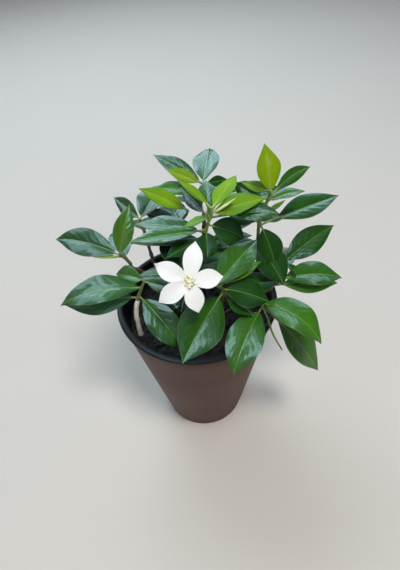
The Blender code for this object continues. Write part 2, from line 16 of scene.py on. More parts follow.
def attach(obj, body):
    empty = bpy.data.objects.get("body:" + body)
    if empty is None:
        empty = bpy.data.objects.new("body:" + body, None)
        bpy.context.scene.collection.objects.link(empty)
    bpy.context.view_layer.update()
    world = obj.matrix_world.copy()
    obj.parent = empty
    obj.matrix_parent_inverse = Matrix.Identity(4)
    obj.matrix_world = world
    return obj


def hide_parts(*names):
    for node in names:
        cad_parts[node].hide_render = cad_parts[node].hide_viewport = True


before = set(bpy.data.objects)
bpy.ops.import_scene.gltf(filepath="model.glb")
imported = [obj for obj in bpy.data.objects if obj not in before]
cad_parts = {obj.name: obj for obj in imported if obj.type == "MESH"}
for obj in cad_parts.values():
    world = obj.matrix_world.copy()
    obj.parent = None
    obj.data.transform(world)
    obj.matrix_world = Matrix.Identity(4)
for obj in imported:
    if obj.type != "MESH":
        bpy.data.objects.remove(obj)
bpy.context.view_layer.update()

print("nodes in the frame:", len(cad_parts))

# %% [markdown]
# ## The camera
# The picture was taken from the front, from a hand's height above the leaves, looking down at about 45
# degrees, with the camera turned a little. The place could be found by trial. Here it comes from fitting a
# plain camera to the rim's ellipse and the pot's sides, which fixes height, tilt and lens.

# %% Camera
CAMERA_PLACE = (0.0032, -0.2310, 0.3808)
CAMERA_TILT = radians(45.4)
CAMERA_ROLL = radians(-4.5)
SENSOR_WIDTH = 36
LENS = 450 / 570 * SENSOR_WIDTH  # a focal length of 450 pixels, in a frame 570 pixels high

back = Vector((0, -cos(CAMERA_TILT), sin(CAMERA_TILT)))
level = Vector((1, 0, 0))
upward = back.cross(level)
camera_right = level * cos(CAMERA_ROLL) + upward * sin(CAMERA_ROLL)
camera_up = upward * cos(CAMERA_ROLL) - level * sin(CAMERA_ROLL)
bpy.ops.object.camera_add(location=CAMERA_PLACE)
camera = bpy.context.object
camera.name = "photo_camera"
camera.rotation_euler = Matrix((camera_right, camera_up, back)).transposed().to_euler()
camera.data.sensor_width = SENSOR_WIDTH
camera.data.lens = LENS
camera.data.clip_start = 0.01
bpy.context.scene.camera = camera
print("camera lens:", round(LENS, 1), "mm")

# %% [markdown]
# ## Small helpers for modelling
# An operator works on whatever is selected, and the loaded nodes start out selected. So each step first
# clears the selection and then picks its own piece.

# %% Selection, joining and modifiers
MM = 0.001


def deselect_all():
    """Goes back to object mode with nothing selected."""
    if bpy.context.object and bpy.context.object.mode != "OBJECT":
        bpy.ops.object.mode_set(mode="OBJECT")
    bpy.ops.object.select_all(action="DESELECT")


def pick(*pieces):
    """Selects these pieces only, the first one active."""
    deselect_all()
    for piece in pieces:
        piece.select_set(True)
    bpy.context.view_layer.objects.active = pieces[0]


def edit_all(piece):
    """Opens a piece in edit mode with everything selected."""
    pick(piece)
    bpy.ops.object.mode_set(mode="EDIT")
    bpy.ops.mesh.select_all(action="SELECT")


def join(name, pieces):
    """Joins pieces into one under a new name."""
    pick(*pieces)
    if len(pieces) > 1:
        bpy.ops.object.join()
    bpy.context.object.name = name
    return bpy.context.object


def copy_of(master, *finishes):
    """A copy of a master piece, with its own mesh and finishes."""
    piece = master.copy()
    piece.data = master.data.copy()
    bpy.context.scene.collection.objects.link(piece)
    for finish in finishes:
        piece.data.materials.append(finish)
    return piece


def modify(piece, kind, **settings):
    """Adds a modifier and applies it."""
    pick(piece)
    modifier = piece.modifiers.new(kind.title(), kind)
    for setting, value in settings.items():
        setattr(modifier, setting, value)
    bpy.ops.object.modifier_apply(modifier=modifier.name)


def merge_doubles(piece, distance=1e-6):
    """Merges points that lie on each other, and turns the faces outwards."""
    edit_all(piece)
    bpy.ops.mesh.remove_doubles(threshold=distance)
    bpy.ops.mesh.normals_make_consistent(inside=False)
    bpy.ops.object.mode_set(mode="OBJECT")


def smooth(piece, angle):
    """Shades a piece smooth, but for edges sharper than the angle."""
    pick(piece)
    bpy.ops.object.shade_smooth_by_angle(angle=radians(angle))
    return piece


def stand_for(piece, slot, *nodes):
    """Makes a finished piece ride on the plant and hides the nodes it stands for. The slot is not used."""
    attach(piece, "root")
    if nodes:
        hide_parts(*nodes)
    return piece

# %% [markdown]
# ## Small helpers for materials
# A material is a small tree of nodes. Typing each link by hand is long, so one helper adds a node and fills
# its inputs in one line. An input that gets a socket is linked, any other is set.

# %% Node helpers
def add_node(tree, kind, inputs=None, **settings):
    """Adds a shader node, with its settings and its inputs, which are numbers or sockets."""
    node = tree.nodes.new("ShaderNode" + kind)
    for setting, value in settings.items():
        setattr(node, setting, value)
    for key, value in (inputs or {}).items():
        if isinstance(value, bpy.types.NodeSocket):
            tree.links.new(value, node.inputs[key])
        else:
            node.inputs[key].default_value = value
    return node


def maths(tree, operation, first, second, clamp=False):
    """One step of arithmetic."""
    return add_node(tree, "Math", {0: first, 1: second}, operation=operation, use_clamp=clamp).outputs[0]


def times_plus(tree, value, factor, extra):
    """A value times a factor, plus an extra."""
    inputs = {0: value, 1: factor, 2: extra}
    return add_node(tree, "Math", inputs, operation="MULTIPLY_ADD").outputs[0]


def read_axes(tree, attribute):
    """The three numbers of an attribute that each point of a blade carries."""
    place = add_node(tree, "Attribute", attribute_name=attribute).outputs["Vector"]
    return add_node(tree, "SeparateXYZ", {0: place}).outputs


def ease(tree, value, low, high, start=0.0, end=1.0):
    """Maps a value from low..high to start..end with soft ends."""
    inputs = {"Value": value, "From Min": low, "From Max": high, "To Min": start, "To Max": end}
    return add_node(tree, "MapRange", inputs, interpolation_type="SMOOTHSTEP").outputs[0]


def mix_colour(tree, share, first, second, blend="MIX"):
    """Mixes two colours."""
    inputs = {0: share}
    for index, value in ((6, first), (7, second)):
        inputs[index] = value if isinstance(value, bpy.types.NodeSocket) else (*value, 1)
    return add_node(tree, "Mix", inputs, data_type="RGBA", blend_type=blend).outputs[2]


def ramp(tree, value, stops):
    """A colour ramp through stops of (place, colour)."""
    node = add_node(tree, "ValToRGB", {"Fac": value})
    elements = node.color_ramp.elements
    while len(elements) < len(stops):
        elements.new(0.5)
    for element, (place, colour) in zip(elements, stops):
        element.position = place
        element.color = (*colour, 1)
    return node.outputs["Color"]


def noise(tree, scale, detail=3.0):
    """Noise on the object's own coordinates. The scale counts per metre."""
    place = add_node(tree, "TexCoord").outputs["Object"]
    inputs = {"Vector": place, "Scale": scale, "Detail": detail}
    return add_node(tree, "TexNoise", inputs).outputs["Fac"]


def bump(tree, height, distance, normal=None):
    """A bump from a height map. The distance is in metres."""
    inputs = {"Height": height, "Distance": distance, "Strength": 1.0}
    if normal:
        inputs["Normal"] = normal
    return add_node(tree, "Bump", inputs).outputs["Normal"]


def new_material(name, roughness, **plain):
    """A material with its shader, whose plain numbers are set on its own sockets."""
    material = bpy.data.materials.new(name)
    material.use_nodes = True
    shader = material.node_tree.nodes["Principled BSDF"]
    shader.inputs["Roughness"].default_value = roughness
    for socket, value in plain.items():
        shader.inputs[socket.replace("_", " ")].default_value = value
    return material, material.node_tree, shader


def feed(tree, shader, **sockets):
    """Links sockets to the shader's inputs."""
    for name, socket in sockets.items():
        tree.links.new(socket, shader.inputs[name.replace("_", " ")])

# %% [markdown]
# ## Shared effects
# Two effects come back in many finishes. Moulded plastic and bark have a fine grain, and every leaf has the
# same pattern of a midrib and side veins. Each is a node group, built once and placed in each material, the
# grain with the material's own scales. The leaf pattern reads an attribute of the blade: how far a point
# lies along the row of side veins, its distance from the midrib, and its share of the leaf's length.

# %% Fine grain group
def new_group(name, inputs, outputs):
    """A node group with float inputs, given as name and value, and float outputs."""
    group = bpy.data.node_groups.new(name, "ShaderNodeTree")
    for label, value in inputs:
        socket = group.interface.new_socket(label, in_out="INPUT", socket_type="NodeSocketFloat")
        socket.default_value = value
    for label in outputs:
        group.interface.new_socket(label, in_out="OUTPUT", socket_type="NodeSocketFloat")
    return group, group.nodes.new("NodeGroupInput"), group.nodes.new("NodeGroupOutput")


grain_group, grain_in, grain_out = new_group(
    "fine_grain", [("Fine Scale", 900.0), ("Patch Scale", 60.0)], ["Grain", "Patches"]
)
fine = noise(grain_group, grain_in.outputs["Fine Scale"], 2.0)
patches = noise(grain_group, grain_in.outputs["Patch Scale"], 4.0)
grain_group.links.new(fine, grain_out.inputs["Grain"])
grain_group.links.new(patches, grain_out.inputs["Patches"])
print("group:", grain_group.name)


def grain_of(tree, fine_scale, patch_scale):
    """The shared grain, with a material's own scales."""
    inputs = {"Fine Scale": fine_scale, "Patch Scale": patch_scale}
    return add_node(tree, "Group", inputs, node_tree=grain_group).outputs

# %% Leaf pattern group
MIDRIB_FADE = 0.28
VEIN_FADE = (-0.08, 0.03)
VEIN_ROOT = (0.02, 0.12)
VEIN_END = 0.55

leaf_group, leaf_in, leaf_out = new_group(
    "leaf_pattern",
    [("Midrib Width", 0.08), ("Vein Width", 0.03), ("Net Scale", 900.0)],
    ["Midrib", "Side Veins", "Net", "Mottle"],
)
row, away, share = read_axes(leaf_group, "blade")
reach = read_axes(leaf_group, "tint")[1]
narrowing = maths(leaf_group, "SUBTRACT", 1.2, share)
narrow = maths(leaf_group, "MULTIPLY", leaf_in.outputs["Midrib Width"], narrowing)
midrib = ease(leaf_group, maths(leaf_group, "SUBTRACT", away, narrow), 0.0, MIDRIB_FADE, 1.0, 0.0)
beside = maths(leaf_group, "PINGPONG", row, 0.5)
beside = maths(leaf_group, "SUBTRACT", beside, leaf_in.outputs["Vein Width"])
vein = ease(leaf_group, beside, *VEIN_FADE, 1.0, 0.0)
vein = maths(leaf_group, "MULTIPLY", vein, ease(leaf_group, reach, VEIN_END, 1.0, 1.0, 0.0))
vein = maths(leaf_group, "MULTIPLY", vein, ease(leaf_group, share, *VEIN_ROOT))
place = add_node(leaf_group, "TexCoord").outputs["Object"]
inputs = {"Vector": place, "Scale": leaf_in.outputs["Net Scale"]}
net = add_node(leaf_group, "TexVoronoi", inputs, feature="DISTANCE_TO_EDGE").outputs["Distance"]
net = ease(leaf_group, net, 0.0, 0.12)
for index, socket in enumerate((midrib, vein, net, noise(leaf_group, 70.0, 4.0))):
    leaf_group.links.new(socket, leaf_out.inputs[index])
print("group:", leaf_group.name)

# %% [markdown]
# ## Leaf finishes
# A mature leaf is waxy and deep green above, with a pale midrib and faint paler side veins. Young leaves are
# lime green, and leaves of middle age lie between. One material per age would show seams between ages, so a
# single ramp of greens is read at a tone that each leaf carries. The youngest leaves are not waxy yet, and
# the leaves deep in the plant see little sky, so both get a duller finish from the same function. Below,
# every leaf is paler and matt, with the veins standing out.

# %% Leaf materials
GREENS = [
    (0.00, (0.006, 0.038, 0.006)),
    (0.22, (0.015, 0.085, 0.004)),
    (0.45, (0.045, 0.170, 0.005)),
    (0.62, (0.110, 0.260, 0.006)),
    (0.80, (0.240, 0.380, 0.004)),
    (1.00, (0.850, 0.880, 0.520)),
]
UNDER_GREEN = (0.16, 0.27, 0.08)
VEIN_GREEN = (0.30, 0.45, 0.12)
MIDRIB_GREEN = (0.26, 0.42, 0.12)
# The tone moves with the mottle, and leaves differ a little in brightness. It is a little lighter at the
# midrib and falls towards the margin. That is partly the leaf's own colour and partly painted light and shade
# of the fold
MOTTLE_TONE = 0.16
MIDRIB_TONE = 0.05
MARGIN_PAINTED_SHADE = -0.12
DARKEST_LEAF = 0.85
LEAF_SPREAD = 0.3
MOTTLE_ROUGH = 0.08
MARGIN_START = 0.955
COAT_ROUGHNESS = 0.16
NET_RELIEF = 0.00004
# How strongly the side veins and the midrib show, and the side veins' relief in metres
UPPER_VEINS = (0.22, 0.45, -0.00013)
LOWER_VEINS = (0.6, 0.8, 0.0003)


def leaf_material(name, upper, roughness, coat, gloss):
    """A leaf's finish, for its upper face or its paler lower face."""
    values = {"Coat_Weight": coat, "Coat_Roughness": COAT_ROUGHNESS, "Specular_IOR_Level": gloss}
    material, tree, shader = new_material(name, roughness, **values)
    vein_share, rib_share, relief = UPPER_VEINS if upper else LOWER_VEINS
    pattern = add_node(tree, "Group", node_tree=leaf_group).outputs
    tone, reach, luck = read_axes(tree, "tint")
    # Painted shade: the tone falls from the midrib to the margin, partly the leaf's own colour and partly the
    # fold's shade
    tone = maths(tree, "ADD", tone, times_plus(tree, reach, MARGIN_PAINTED_SHADE, MIDRIB_TONE))
    mottle = times_plus(tree, pattern["Mottle"], MOTTLE_TONE, -MOTTLE_TONE / 2)
    green = ramp(tree, maths(tree, "ADD", tone, mottle, clamp=True), GREENS)
    shade = times_plus(tree, luck, LEAF_SPREAD, DARKEST_LEAF)
    shade = add_node(tree, "CombineColor", {0: shade, 1: shade, 2: shade}).outputs[0]
    green = mix_colour(tree, 1.0, green, shade, "MULTIPLY")
    if not upper:
        green = mix_colour(tree, 0.55, green, UNDER_GREEN)
    pale = mix_colour(tree, 0.5, green, VEIN_GREEN)
    green = mix_colour(tree, maths(tree, "MULTIPLY", pattern["Side Veins"], vein_share), green, pale)
    rib = mix_colour(tree, rib_share, green, MIDRIB_GREEN)
    green = mix_colour(tree, pattern["Midrib"], green, rib)
    green = mix_colour(tree, ease(tree, reach, MARGIN_START, 1.0, 0.0, 0.5), green, pale)
    rough = times_plus(tree, pattern["Mottle"], MOTTLE_ROUGH, roughness - MOTTLE_ROUGH / 2)
    veined = bump(tree, pattern["Side Veins"], relief)
    netted = bump(tree, pattern["Net"], NET_RELIEF, veined)
    feed(tree, shader, Base_Color=green, Roughness=rough, Normal=netted)
    return material


# Each finish: its name, whether it is an upper face, its roughness, its coat and its gloss
LEAF_FINISHES = (
    ("leaf_green_upper", True, 0.14, 0.1, 0.5),
    ("leaf_green_under", False, 0.60, 0.0, 0.25),
    ("leaf_dull_upper", True, 0.34, 0.0, 0.2),
    ("young_leaf_upper", True, 0.55, 0.0, 0.06),
    ("young_leaf_under", False, 0.60, 0.0, 0.15),
)
leaf_upper, leaf_under, dull_upper, young_upper, young_under = (leaf_material(*row) for row in LEAF_FINISHES)
print("leaf finishes:", len(LEAF_FINISHES))

# %% [markdown]
# ## Stalk, bark, petal, pot and soil finishes
# The stalks are smooth and light green, most shoots are a duller green, and the top one is fresh green. The
# old wood is rough and brown, but for one pale, peeled-looking stem at the pot's left edge. Its colour is
# lifted further as painted light, since the pot and the leaves shade it. The petals are matt white, the cover
# pot is matt moulded plastic in brown, and the nursery pot is black with a soft gloss.

# %% Stalk and bark materials
def bark_material(name, dark, light, roughness, grain_depth, scale):
    """Stem or bark, with patches of two colours and lengthwise grain."""
    material, tree, shader = new_material(name, roughness)
    grain = grain_of(tree, scale, 180.0)
    colour = mix_colour(tree, ease(tree, grain["Patches"], 0.35, 0.65), dark, light)
    colour = mix_colour(tree, ease(tree, grain["Grain"], 0.55, 0.75, 0.0, 0.4), colour, dark)
    feed(tree, shader, Base_Color=colour, Normal=bump(tree, grain["Grain"], grain_depth))
    return material


# Each finish: its name, its two colours, its roughness, the depth of its grain and how fine the grain is
STEM_FINISHES = (
    ("stalk_green", (0.10, 0.17, 0.035), (0.20, 0.30, 0.07), 0.45, 0.00005, 700.0),
    ("shoot_green", (0.085, 0.115, 0.028), (0.17, 0.23, 0.05), 0.5, 0.0001, 800.0),
    ("fresh_shoot_green", (0.17, 0.26, 0.03), (0.30, 0.42, 0.05), 0.45, 0.00005, 700.0),
    ("bark_brown", (0.055, 0.036, 0.018), (0.15, 0.11, 0.06), 0.75, 0.0003, 900.0),
    # bark_pale: the pale stem's own colour, lifted towards white as painted light where the pot and leaves
    # shade it
    ("bark_pale", (0.88, 0.79, 0.68), (0.98, 0.93, 0.86), 0.7, 0.0002, 900.0),
)
stalk_green, shoot_green, fresh_green, bark_brown, bark_pale = (bark_material(*row) for row in STEM_FINISHES)
print("stem finishes:", len(STEM_FINISHES))

# %% Flower materials
LINE_COLOUR = (0.66, 0.72, 0.70)


def petal_material(name, colour, inner, roughness):
    """A petal's finish: soft and matt, a little warmer towards the throat, with faint lengthwise veins."""
    material, tree, shader = new_material(name, roughness, Subsurface_Weight=0.12, Subsurface_Scale=0.002)
    shader.inputs["Subsurface Radius"].default_value = (1.0, 1.0, 0.9)
    row, _, share = read_axes(tree, "blade")
    lines = maths(tree, "PINGPONG", row, 0.5)
    tinted = mix_colour(tree, ease(tree, share, 0.0, 0.28, 1.0, 0.0), colour, inner)
    tinted = mix_colour(tree, ease(tree, lines, 0.0, 0.16, 0.12, 0.0), tinted, LINE_COLOUR)
    feed(tree, shader, Base_Color=tinted, Normal=bump(tree, lines, 0.00015))
    return material


def plain_soft(name, dark, light, roughness):
    """A soft part with mottled colour and a crumpled surface."""
    material, tree, shader = new_material(name, roughness)
    patch = ease(tree, noise(tree, 700.0, 3.0), 0.35, 0.65)
    feed(tree, shader, Base_Color=mix_colour(tree, patch, dark, light), Normal=bump(tree, patch, 0.0001))
    return material


petal_white = petal_material("petal_white", (0.93, 0.94, 0.94), (0.90, 0.89, 0.74), 0.55)
# Each finish: its name, its two colours and its roughness
SOFT_FINISHES = (
    ("throat_cream", (0.88, 0.85, 0.64), (0.97, 0.96, 0.86), 0.6),
    ("anther_yellow", (0.78, 0.69, 0.14), (0.95, 0.89, 0.38), 0.6),
    ("bud_white", (0.84, 0.88, 0.76), (0.95, 0.96, 0.92), 0.5),
)
throat_cream, anther_yellow, bud_white = (plain_soft(*row) for row in SOFT_FINISHES)
print("flower finishes:", 1 + len(SOFT_FINISHES))

# %% Pot and soil materials
PATCH_ROUGH = 0.12
SOIL_BROWNS = [(0.3, (0.006, 0.004, 0.003)), (0.55, (0.022, 0.014, 0.009)), (0.75, (0.055, 0.036, 0.022))]


def moulded_plastic(name, colour, worn, roughness, gloss):
    """Moulded plastic: fine grain, and slow patches of dull and shine."""
    material, tree, shader = new_material(name, roughness, Specular_IOR_Level=gloss)
    grain = grain_of(tree, 1500.0, 22.0)
    patch = ease(tree, grain["Patches"], 0.3, 0.7)
    tinted = mix_colour(tree, maths(tree, "MULTIPLY", patch, 0.5), colour, worn)
    rough = times_plus(tree, patch, PATCH_ROUGH, roughness - PATCH_ROUGH / 2)
    feed(tree, shader, Base_Color=tinted, Roughness=rough, Normal=bump(tree, grain["Grain"], 0.00004))
    return material


pot_brown = moulded_plastic("pot_brown", (0.105, 0.050, 0.036), (0.120, 0.060, 0.044), 0.55, 0.25)
pot_black = moulded_plastic("pot_black", (0.008, 0.009, 0.012), (0.016, 0.017, 0.021), 0.44, 0.16)
soil_dark, soil_tree, soil_shader = new_material("soil_dark", 0.95)
crumb_noise = noise(soil_tree, 420.0, 6.0)
soil_colour = ramp(soil_tree, crumb_noise, SOIL_BROWNS)
feed(soil_tree, soil_shader, Base_Color=soil_colour, Normal=bump(soil_tree, crumb_noise, 0.0012))
print("pot and soil finishes:", pot_brown.name, pot_black.name, soil_dark.name)

# %% [markdown]
# ## The two pots
# A pot's wall is the same all round. It could be a cylinder with its faces pushed about, but drawing the
# wall's section once and spinning it round the axis gives the exact wall, foot and lip. The profile starts
# and ends on the axis, so the shell is closed. The nursery pot's drain holes are then cut through its floor.

# %% Spin a profile
def spin_profile(name, profile, steps, finish):
    """Draws a profile of (radius, height) by extruding a point, and spins it round the upright axis."""
    deselect_all()
    radius, height = profile[0]
    bpy.ops.mesh.primitive_plane_add(size=MM, location=(radius * MM, 0, height * MM))
    piece = bpy.context.object
    bpy.ops.object.transform_apply(location=True, rotation=False, scale=False)
    edit_all(piece)
    bpy.ops.mesh.merge(type="CENTER")
    for (radius, height), (next_radius, next_height) in zip(profile, profile[1:]):
        step = ((next_radius - radius) * MM, 0, (next_height - height) * MM)
        bpy.ops.mesh.extrude_vertices_move(TRANSFORM_OT_translate={"value": step})
    bpy.ops.mesh.select_all(action="SELECT")
    bpy.ops.mesh.spin(steps=steps, angle=tau, center=(0, 0, 0), axis=(0, 0, 1))
    merge_doubles(piece)
    piece.name = name
    piece.data.materials.append(finish)
    return smooth(piece, 35)

# %% Cover pot and nursery pot
POT_BASE_RADIUS = 33.7
POT_TOP_RADIUS = 58.2
POT_TOP = 129.8
POT_WALL = 1.6
POT_FLOOR = 2.5
POT_STEPS = 144
FOOT_ROUND = 3.0
LIP_INSET = 0.1
WALL_HEIGHTS = (20, 45, 70, 95, 120)
LINER_GAP = 0.5
LINER_WALL = 1.2
LINER_FLOOR = 2.9
LEDGE_IN = 0.4
LEDGE_DOWN = 1.2
LEDGE_FOOT = 112
RIM_RADIUS = 60.0
RIM_TOP = 135.0
RIM_DROP = 4.6
DRAIN_HOLES = 4
DRAIN_RADIUS = 3.0
DRAIN_CIRCLE = 20.0
DRAIN_CUT = 8.0
# The odd number of sides and the small turn keep the cutters' edges off the floor's spokes, and the merging
# of near points closes the last slits, so that the shell stays closed
DRAIN_SIDES = 31
DRAIN_TURN = 0.037
DRAIN_MERGE = 1e-5


def pot_radius(height):
    """The cover pot's outer radius at a height."""
    return POT_BASE_RADIUS + (POT_TOP_RADIUS - POT_BASE_RADIUS) * height / POT_TOP


def arc(centre, size, first, last, steps):
    """Points on a quarter or half round of a profile, with its angles in degrees."""
    turns = [radians(first + (last - first) * step / steps) for step in range(steps + 1)]
    return [(centre[0] + size[0] * cos(turn), centre[1] + size[1] * sin(turn)) for turn in turns]


foot = arc((POT_BASE_RADIUS - FOOT_ROUND, FOOT_ROUND), (FOOT_ROUND, FOOT_ROUND), -90, 0, 8)
wall = [(pot_radius(height), height) for height in WALL_HEIGHTS]
lip_middle = (POT_TOP_RADIUS - POT_WALL / 2 - LIP_INSET, POT_TOP - POT_WALL / 2)
lip = arc(lip_middle, (POT_WALL / 2, POT_WALL / 2), 0, 180, 6)
inside = [(pot_radius(POT_FLOOR) - POT_WALL, POT_FLOOR), (0, POT_FLOOR)]
cover_shell = spin_profile("cover_pot_shell", [(0, 0)] + foot + wall + lip + inside, POT_STEPS, pot_brown)
stand_for(cover_shell, "pot_brown", "cover_pot")


def liner_radius(height):
    """The nursery pot's outer radius at a height."""
    return pot_radius(height) - POT_WALL - LINER_GAP


def liner_inside(height):
    """The nursery pot's inner radius at a height."""
    return liner_radius(height) - LINER_WALL


wall_top = RIM_TOP - RIM_DROP
floor_top = LINER_FLOOR + LINER_WALL
inner_lip = liner_inside(wall_top)
bead = (RIM_RADIUS - inner_lip) / 2
rim = arc((RIM_RADIUS - bead, RIM_TOP - RIM_DROP / 2), (bead, RIM_DROP / 2), -20, 180, 20)
outside = [(0, LINER_FLOOR), (liner_radius(LINER_FLOOR), LINER_FLOOR), (liner_radius(wall_top), wall_top)]
ledge = [(inner_lip, wall_top), (inner_lip - LEDGE_IN, wall_top - LEDGE_DOWN)]
low = [(liner_inside(LEDGE_FOOT), LEDGE_FOOT), (liner_inside(floor_top), floor_top), (0, floor_top)]
nursery_profile = outside + [(RIM_RADIUS - LINER_WALL, wall_top)] + rim + ledge + low
nursery_shell = spin_profile("nursery_pot_shell", nursery_profile, POT_STEPS, pot_black)
for index in range(DRAIN_HOLES):
    turn = tau * index / DRAIN_HOLES
    spot = Vector((cos(turn), sin(turn), 0)) * DRAIN_CIRCLE + Vector((0, 0, LINER_FLOOR))
    deselect_all()
    bpy.ops.mesh.primitive_cylinder_add(vertices=DRAIN_SIDES, radius=DRAIN_RADIUS * MM, depth=DRAIN_CUT * MM)
    cutter = bpy.context.object
    cutter.data.transform(Matrix.Translation(spot * MM) @ Matrix.Rotation(DRAIN_TURN, 4, "Z"))
    modify(nursery_shell, "BOOLEAN", operation="DIFFERENCE", solver="EXACT", object=cutter)
    bpy.data.objects.remove(cutter)
merge_doubles(nursery_shell, DRAIN_MERGE)
smooth(nursery_shell, 35)
stand_for(nursery_shell, "pot_black", "nursery_pot")
print("pots:", len(cover_shell.data.polygons), "and", len(nursery_shell.data.polygons), "faces")

# %% [markdown]
# ## The soil
# Potting soil is dark, loose and lumpy. A flat disc would look like felt. A disc of many small rings is
# domed and pushed up and down by crossed waves, wide ones for lumps and narrow ones for rubble. Loose crumbs
# lie on it, which are copies of one small faceted ball, each turned and sized by a seeded draw.

# %% Soil bed
SOIL_TOP = 117.0
SOIL_FLOOR = 4.6
SOIL_SIDES = 96
SOIL_RINGS = 26
SOIL_GAP = 0.35
SOIL_DOME = 2.0
SOIL_LUMPS = 0.9
SOIL_RUBBLE = 0.45
soil_edge = liner_inside(SOIL_TOP) - SOIL_GAP
narrowed = (liner_inside(SOIL_FLOOR) - SOIL_GAP) / soil_edge


def soil_lump(x, y):
    """The lumps of the soil at a place, from about -1.6 to 1.6."""
    return sin(x * 0.35 + 1) * cos(y * 0.41) + 0.6 * sin(x * 0.9 - y * 0.7)


deselect_all()
depth = (SOIL_TOP - SOIL_FLOOR) * MM
middle = (0, 0, SOIL_FLOOR * MM + depth / 2)
bpy.ops.mesh.primitive_cylinder_add(vertices=SOIL_SIDES, radius=soil_edge * MM, depth=depth, location=middle)
soil_bed = bpy.context.object
bpy.ops.object.transform_apply(location=True, rotation=False, scale=False)
edit_all(soil_bed)
bpy.ops.mesh.select_all(action="DESELECT")
bpy.ops.object.mode_set(mode="OBJECT")
for face in soil_bed.data.polygons:
    face.select = face.normal.z > 0.9
bpy.ops.object.mode_set(mode="EDIT")
for _ in range(SOIL_RINGS):
    bpy.ops.mesh.inset(thickness=soil_edge * MM / (SOIL_RINGS + 1))
bpy.ops.mesh.poke()
bpy.ops.object.mode_set(mode="OBJECT")
for point in soil_bed.data.vertices:
    if point.co.z < (SOIL_FLOOR + 1) * MM:
        point.co.x *= narrowed
        point.co.y *= narrowed
        continue
    share_out = hypot(point.co.x, point.co.y) / (soil_edge * MM)
    if share_out > 0.99:
        continue
    x, y = point.co.x / MM, point.co.y / MM
    rubble = sin(x * 2.3 + 3 * sin(y * 0.7)) * cos(y * 2.1 + 2 * sin(x * 0.9))
    dome = SOIL_DOME * (1 - share_out**2)
    point.co.z += (dome + SOIL_LUMPS * soil_lump(x, y) + SOIL_RUBBLE * rubble) * MM
soil_bed.name = "soil_bed"
soil_bed.data.materials.append(soil_dark)
smooth(soil_bed, 60)
stand_for(soil_bed, "soil_dark", "soil")
print("soil bed:", len(soil_bed.data.polygons), "faces")

# %% Soil crumbs
CRUMBS = 900
CRUMB_MARGIN = 1.5
CRUMB_SIZES = (0.5, 1.5)
LARGE_CRUMB = 1.6
LARGE_DRAW = 0.93
crumb_draw = random.Random(5)
deselect_all()
bpy.ops.mesh.primitive_ico_sphere_add(subdivisions=1, radius=MM)
crumb_master = bpy.context.object
crumb_master.data.materials.append(soil_dark)
crumbs = []
for index in range(CRUMBS):
    turn = crumb_draw.uniform(0, tau)
    radius = (soil_edge - CRUMB_MARGIN) * sqrt(crumb_draw.random())
    x, y = radius * cos(turn), radius * sin(turn)
    height = SOIL_TOP + SOIL_DOME * (1 - (radius / soil_edge) ** 2) + SOIL_LUMPS * soil_lump(x, y)
    size = crumb_draw.uniform(*CRUMB_SIZES) * (LARGE_CRUMB if crumb_draw.random() > LARGE_DRAW else 1)
    length, height_share = crumb_draw.uniform(0.7, 1.5), crumb_draw.uniform(0.5, 0.9)
    stretch = Matrix.Diagonal((size * length, size, size * height_share, 1))
    spin = Matrix.Rotation(crumb_draw.uniform(0, tau), 4, "Z")
    spin = spin @ Matrix.Rotation(crumb_draw.uniform(-0.5, 0.5), 4, "X")
    crumb = copy_of(crumb_master)
    crumb.data.transform(Matrix.Translation((x * MM, y * MM, height * MM)) @ spin @ stretch)
    crumbs.append(crumb)
bpy.data.objects.remove(crumb_master)
soil_crumbs = join("soil_crumbs", crumbs)
stand_for(soil_crumbs, "soil_dark")
print("soil crumbs:", CRUMBS)

# %% [markdown]
# ## The plan of the plant
# Leaves on this shrub grow in opposite pairs, each pair turned against the one below. The plan lists every
# shoot: the route of its stem, then a row for each leaf. A row says where along the stem the leaf stands,
# its blade's heading, slope, roll, length and width, how far it bends down, and its stalk. These are the
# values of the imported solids. The last number is the tone, from 0, the deepest green, to 1, pale lime.

# %% Leaf and shoot values
Leaf = namedtuple("Leaf", "at heading rise roll length width droop stalk tone")
